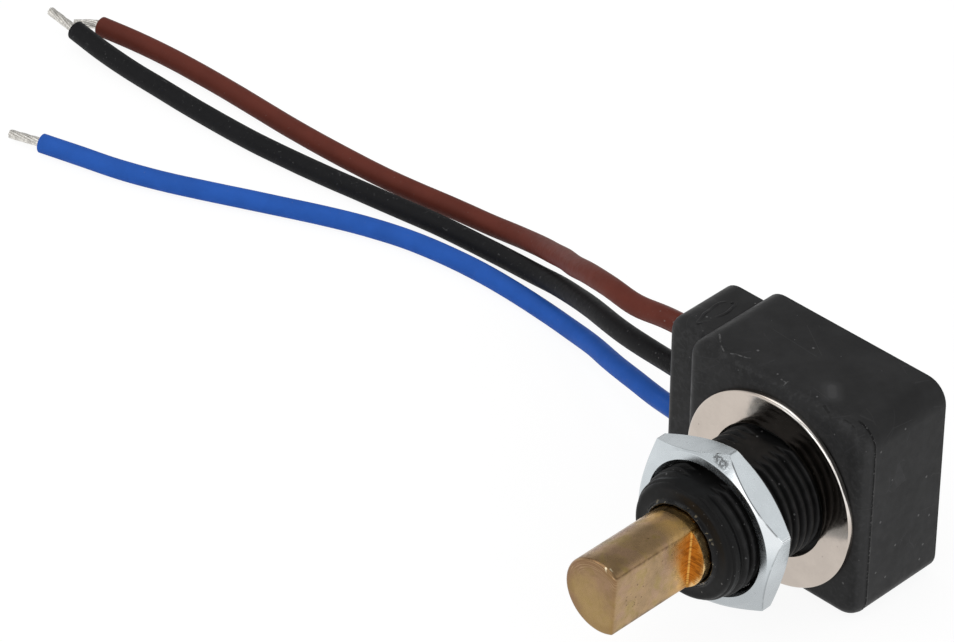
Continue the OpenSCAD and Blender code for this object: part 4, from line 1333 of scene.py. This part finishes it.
class POT_OT_washer(bpy.types.Operator):
    """Make the stamped flat washer"""

    bl_idname = "pot.washer"
    bl_label = "Washer"

    def execute(self, context):
        middle = 0.5 * (WASHER_LOW.z + WASHER_HIGH.z)
        outer, hole = WASHER_HIGH.x, context.scene.pot_sizes.washer_hole
        front, back = WASHER_LOW.y, WASHER_HIGH.y
        roll, count = 0.13 * MM, 200

        def near(turn, heading, width):
            """1 in one direction in degrees, falling off softly on both sides."""
            return math.exp(-((math.degrees(turn) - heading) / width) ** 2)

        def wavy(aside, along, depth):
            """A ring of the rim, which bulges and is drawn in more at the top right."""
            ring = []
            for turn in turns(count):
                drawn = 0.04 * MM + 0.32 * MM * (0.5 - 0.5 * math.cos(turn - math.radians(40)))
                drawn += 0.30 * MM * near(turn, 70, 34)
                radius = outer + 0.27 * MM * near(turn, 68, 36) - drawn * aside
                ring.append((radius * math.cos(turn), depth + 0.55 * drawn * along,
                             middle + radius * math.sin(turn)))
            return ring

        profile = [(hole + roll * aside, front + roll * along) for aside, along in reversed(quarter(6))]
        profile += [(hole + (outer - hole) * share, front) for share in (0.25, 0.5, 0.75)]
        rings = [circle_ring(radius, y, count, 0.0, middle) for radius, y in profile]
        rings += [wavy(aside, along, front) for aside, along in quarter(7)]
        rings += [wavy(0.0, 0.0, front + (back - front) * share) for share in (0.5, 0.65, 0.8, 0.92)]
        edge = 0.04 * MM
        rest = [(outer - edge, back), (hole + edge, back), (hole, back - edge)]
        rings += [circle_ring(radius, y, count, 0.0, middle) for radius, y in rest]
        rings.append(rings[0])
        washer = skinned("washer_plated", rings)
        x, y, z = coordinates(washer)
        # Headings are in degrees about the axis, from +X towards +Z
        heading = np.degrees(np.arctan2(z - middle, x))
        # Painted highlight: the headings where the rolled rim is painted light
        bright = held((44 - np.abs(heading - 50)) / 14)
        rolled = (y > front + 0.005 * MM) & (np.hypot(x, z - middle) > outer - 2.5 * roll)
        depth = (y - front) / (back - front)
        store(washer, "rim", bright * rolled)
        # Painted shade: the back of the rim, dark at the upper right
        store(washer, "torn", held((depth - 0.66) * 8) * held((24 - np.abs(heading - 38)) / 10))
        smooth(washer, 40)
        dress(washer, "bright_nickel", "case", "nickel", "washer")
        return {"FINISHED"}


class POT_OT_nut(bpy.types.Operator):
    """Make the chamfered hexagon nut with its plain bore"""

    bl_idname = "pot.nut"
    bl_label = "Nut"

    def execute(self, context):
        sizes = context.scene.pot_sizes
        front, back = NUT_LOW.y, NUT_HIGH.y
        half, nose = sizes.nut_flats / 2, sizes.nut_nose
        bore = sizes.thread_crest + 0.05 * MM
        mouth, corner_round, bevel = 0.35 * MM, 0.15 * MM, 0.035 * MM
        chamfer, half_side = math.radians(30), math.radians(30)
        slope = math.tan(chamfer)
        steps = (0.2, 0.4, 0.6, 0.9) + tuple(1.5 * k for k in range(1, 20))
        leans = [-step for step in reversed(steps)] + [0.0] + list(steps) + [30.0]
        headings = [(sizes.nut_turn + math.radians(30 + 60 * side + lean), lean)
                    for side in range(6) for lean in leans]

        def reach(lean):
            """The distance from the axis to the outline, so many degrees beside a corner."""
            lean = math.radians(abs(lean))
            centre = (half - corner_round) / math.cos(half_side)
            inside = corner_round ** 2 - (centre * math.sin(lean)) ** 2
            sharp = half / math.cos(half_side - lean)
            return min(sharp, centre * math.cos(lean) + math.sqrt(inside)) if inside > 0 else sharp

        def ring(edge, sign, place):
            """A ring whose radius and depth below an edge follow from the outline's reach."""
            points = []
            for turn, lean in headings:
                radius, drop = place(reach(lean))
                points.append((radius * math.cos(turn), edge + sign * drop, radius * math.sin(turn)))
            return points

        def below(inset, lift):
            """A place on the chamfer, set in from the outline."""
            return lambda r: (r - inset * bevel, (r - inset * bevel - nose) * slope + lift * bevel)

        places = [lambda r: (bore + mouth, 0.0), lambda r: (0.5 * (bore + mouth + nose), 0.0),
                  lambda r: (nose - bevel, 0.0), lambda r: (nose + 0.4 * bevel, 0.7 * bevel * slope),
                  lambda r: (0.5 * (nose + r), 0.5 * (r - nose) * slope + 0.2 * bevel),
                  below(3.0, 0.3), below(0.6, 0.3), below(0.0, 1.0), below(0.0, 2.5)]
        rings = [ring(front, 1, place) for place in places]
        rings += [ring(back, -1, place) for place in reversed(places)]
        for y in (back - mouth, 0.5 * (front + back), front + mouth):
            rings.append(ring(y, 1, lambda r: (bore, 0.0)))
        rings.append(rings[0])
        nut = skinned("nut_plated", rings)
        x, y, z = coordinates(nut)
        radial = np.hypot(x, z)
        # The bore and its mouth, which the finish paints dark as shade
        store(nut, "bore", radial < bore + 0.5 * mouth)
        # Headings are in degrees about the axis, from +X towards +Z
        heading = np.degrees(np.arctan2(z, x))
        beside = (heading - math.degrees(sizes.nut_turn) + 30) % 60 - 30
        side = half / np.cos(np.radians(beside))
        rise = np.minimum(y - front, back - y)
        # Painted highlight: the headings where the chamfer is painted near white
        highlight_headings = held((78 - heading) / 20) * held((heading - 2) / 14)
        store(nut, "chamfer", highlight_headings * ((radial > nose) & (radial < side - 0.2 * bevel)))
        # Painted shade: where the finish paints a dark line between the chamfer and the flats
        near_line = (radial > side - 1.5 * bevel) & (rise < (side - nose) * slope + 1.5 * bevel)
        line_at = (np.abs(heading - 47.5) < 27) + 0.45 * (np.abs(heading + 12.5) < 27)
        store(nut, "crease", near_line * (np.abs(beside) < 27) * line_at)
        smooth(nut, 11)
        dress(nut, "bright_zinc", "panel_nut", "zinc", "nut")
        return {"FINISHED"}


class POT_OT_inside(bpy.types.Operator):
    """Give the inner pieces their finishes"""

    bl_idname = "pot.inside"
    bl_label = "Inner pieces"

    def execute(self, context):
        finishes = {
            "retaining_ring": "spring_strip", "thrust_washer": "natural_moulding",
            "rotor": "natural_moulding", "wiper": "spring_bronze", "track_board": "laminate",
            "resistive_track": "carbon_print", "collector_ring": "silver_ink",
        }
        for colour in LEADS:
            finishes["terminal_" + colour] = "tinned_strand"
            finishes["solder_" + colour] = "tinned_strand"
            finishes["rivet_" + colour] = "aged_brass"
        for node, finish in finishes.items():
            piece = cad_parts[node]
            piece.data.materials.clear()
            piece.data.materials.append(finish_of(finish))
        return {"FINISHED"}


class POT_PT_panel(bpy.types.Panel):
    """The potentiometer's pieces, in the 3D view's sidebar"""

    bl_idname = "POT_PT_panel"
    bl_label = "Potentiometer"
    bl_space_type = "VIEW_3D"
    bl_region_type = "UI"
    bl_category = "Potentiometer"

    def draw(self, context):
        for operator in OPERATORS:
            self.layout.operator(operator.bl_idname)
        for group in (context.scene.pot_sizes, context.scene.pot_colours, context.scene.pot_view):
            box = self.layout.box()
            for name in group.__annotations__:
                box.prop(group, name)


GROUPS = (PotSizes, PotColours, PotView)
OPERATORS = (POT_OT_stage, POT_OT_leads, POT_OT_housing, POT_OT_back, POT_OT_exits, POT_OT_shaft,
             POT_OT_washer, POT_OT_nut, POT_OT_inside)


def register():
    for item in GROUPS + OPERATORS + (POT_PT_panel,):
        bpy.utils.register_class(item)
    bpy.types.Scene.pot_sizes = bpy.props.PointerProperty(type=PotSizes)
    bpy.types.Scene.pot_colours = bpy.props.PointerProperty(type=PotColours)
    bpy.types.Scene.pot_view = bpy.props.PointerProperty(type=PotView)


def unregister():
    del bpy.types.Scene.pot_view
    del bpy.types.Scene.pot_colours
    del bpy.types.Scene.pot_sizes
    for item in reversed(GROUPS + OPERATORS + (POT_PT_panel,)):
        bpy.utils.unregister_class(item)


def main():
    register()
    bpy.ops.pot.stage()
    bpy.ops.pot.leads()
    bpy.ops.pot.housing()
    bpy.ops.pot.back()
    bpy.ops.pot.exits()
    bpy.ops.pot.shaft()
    bpy.ops.pot.washer()
    bpy.ops.pot.nut()
    bpy.ops.pot.inside()


if __name__ == "__main__":
    main()
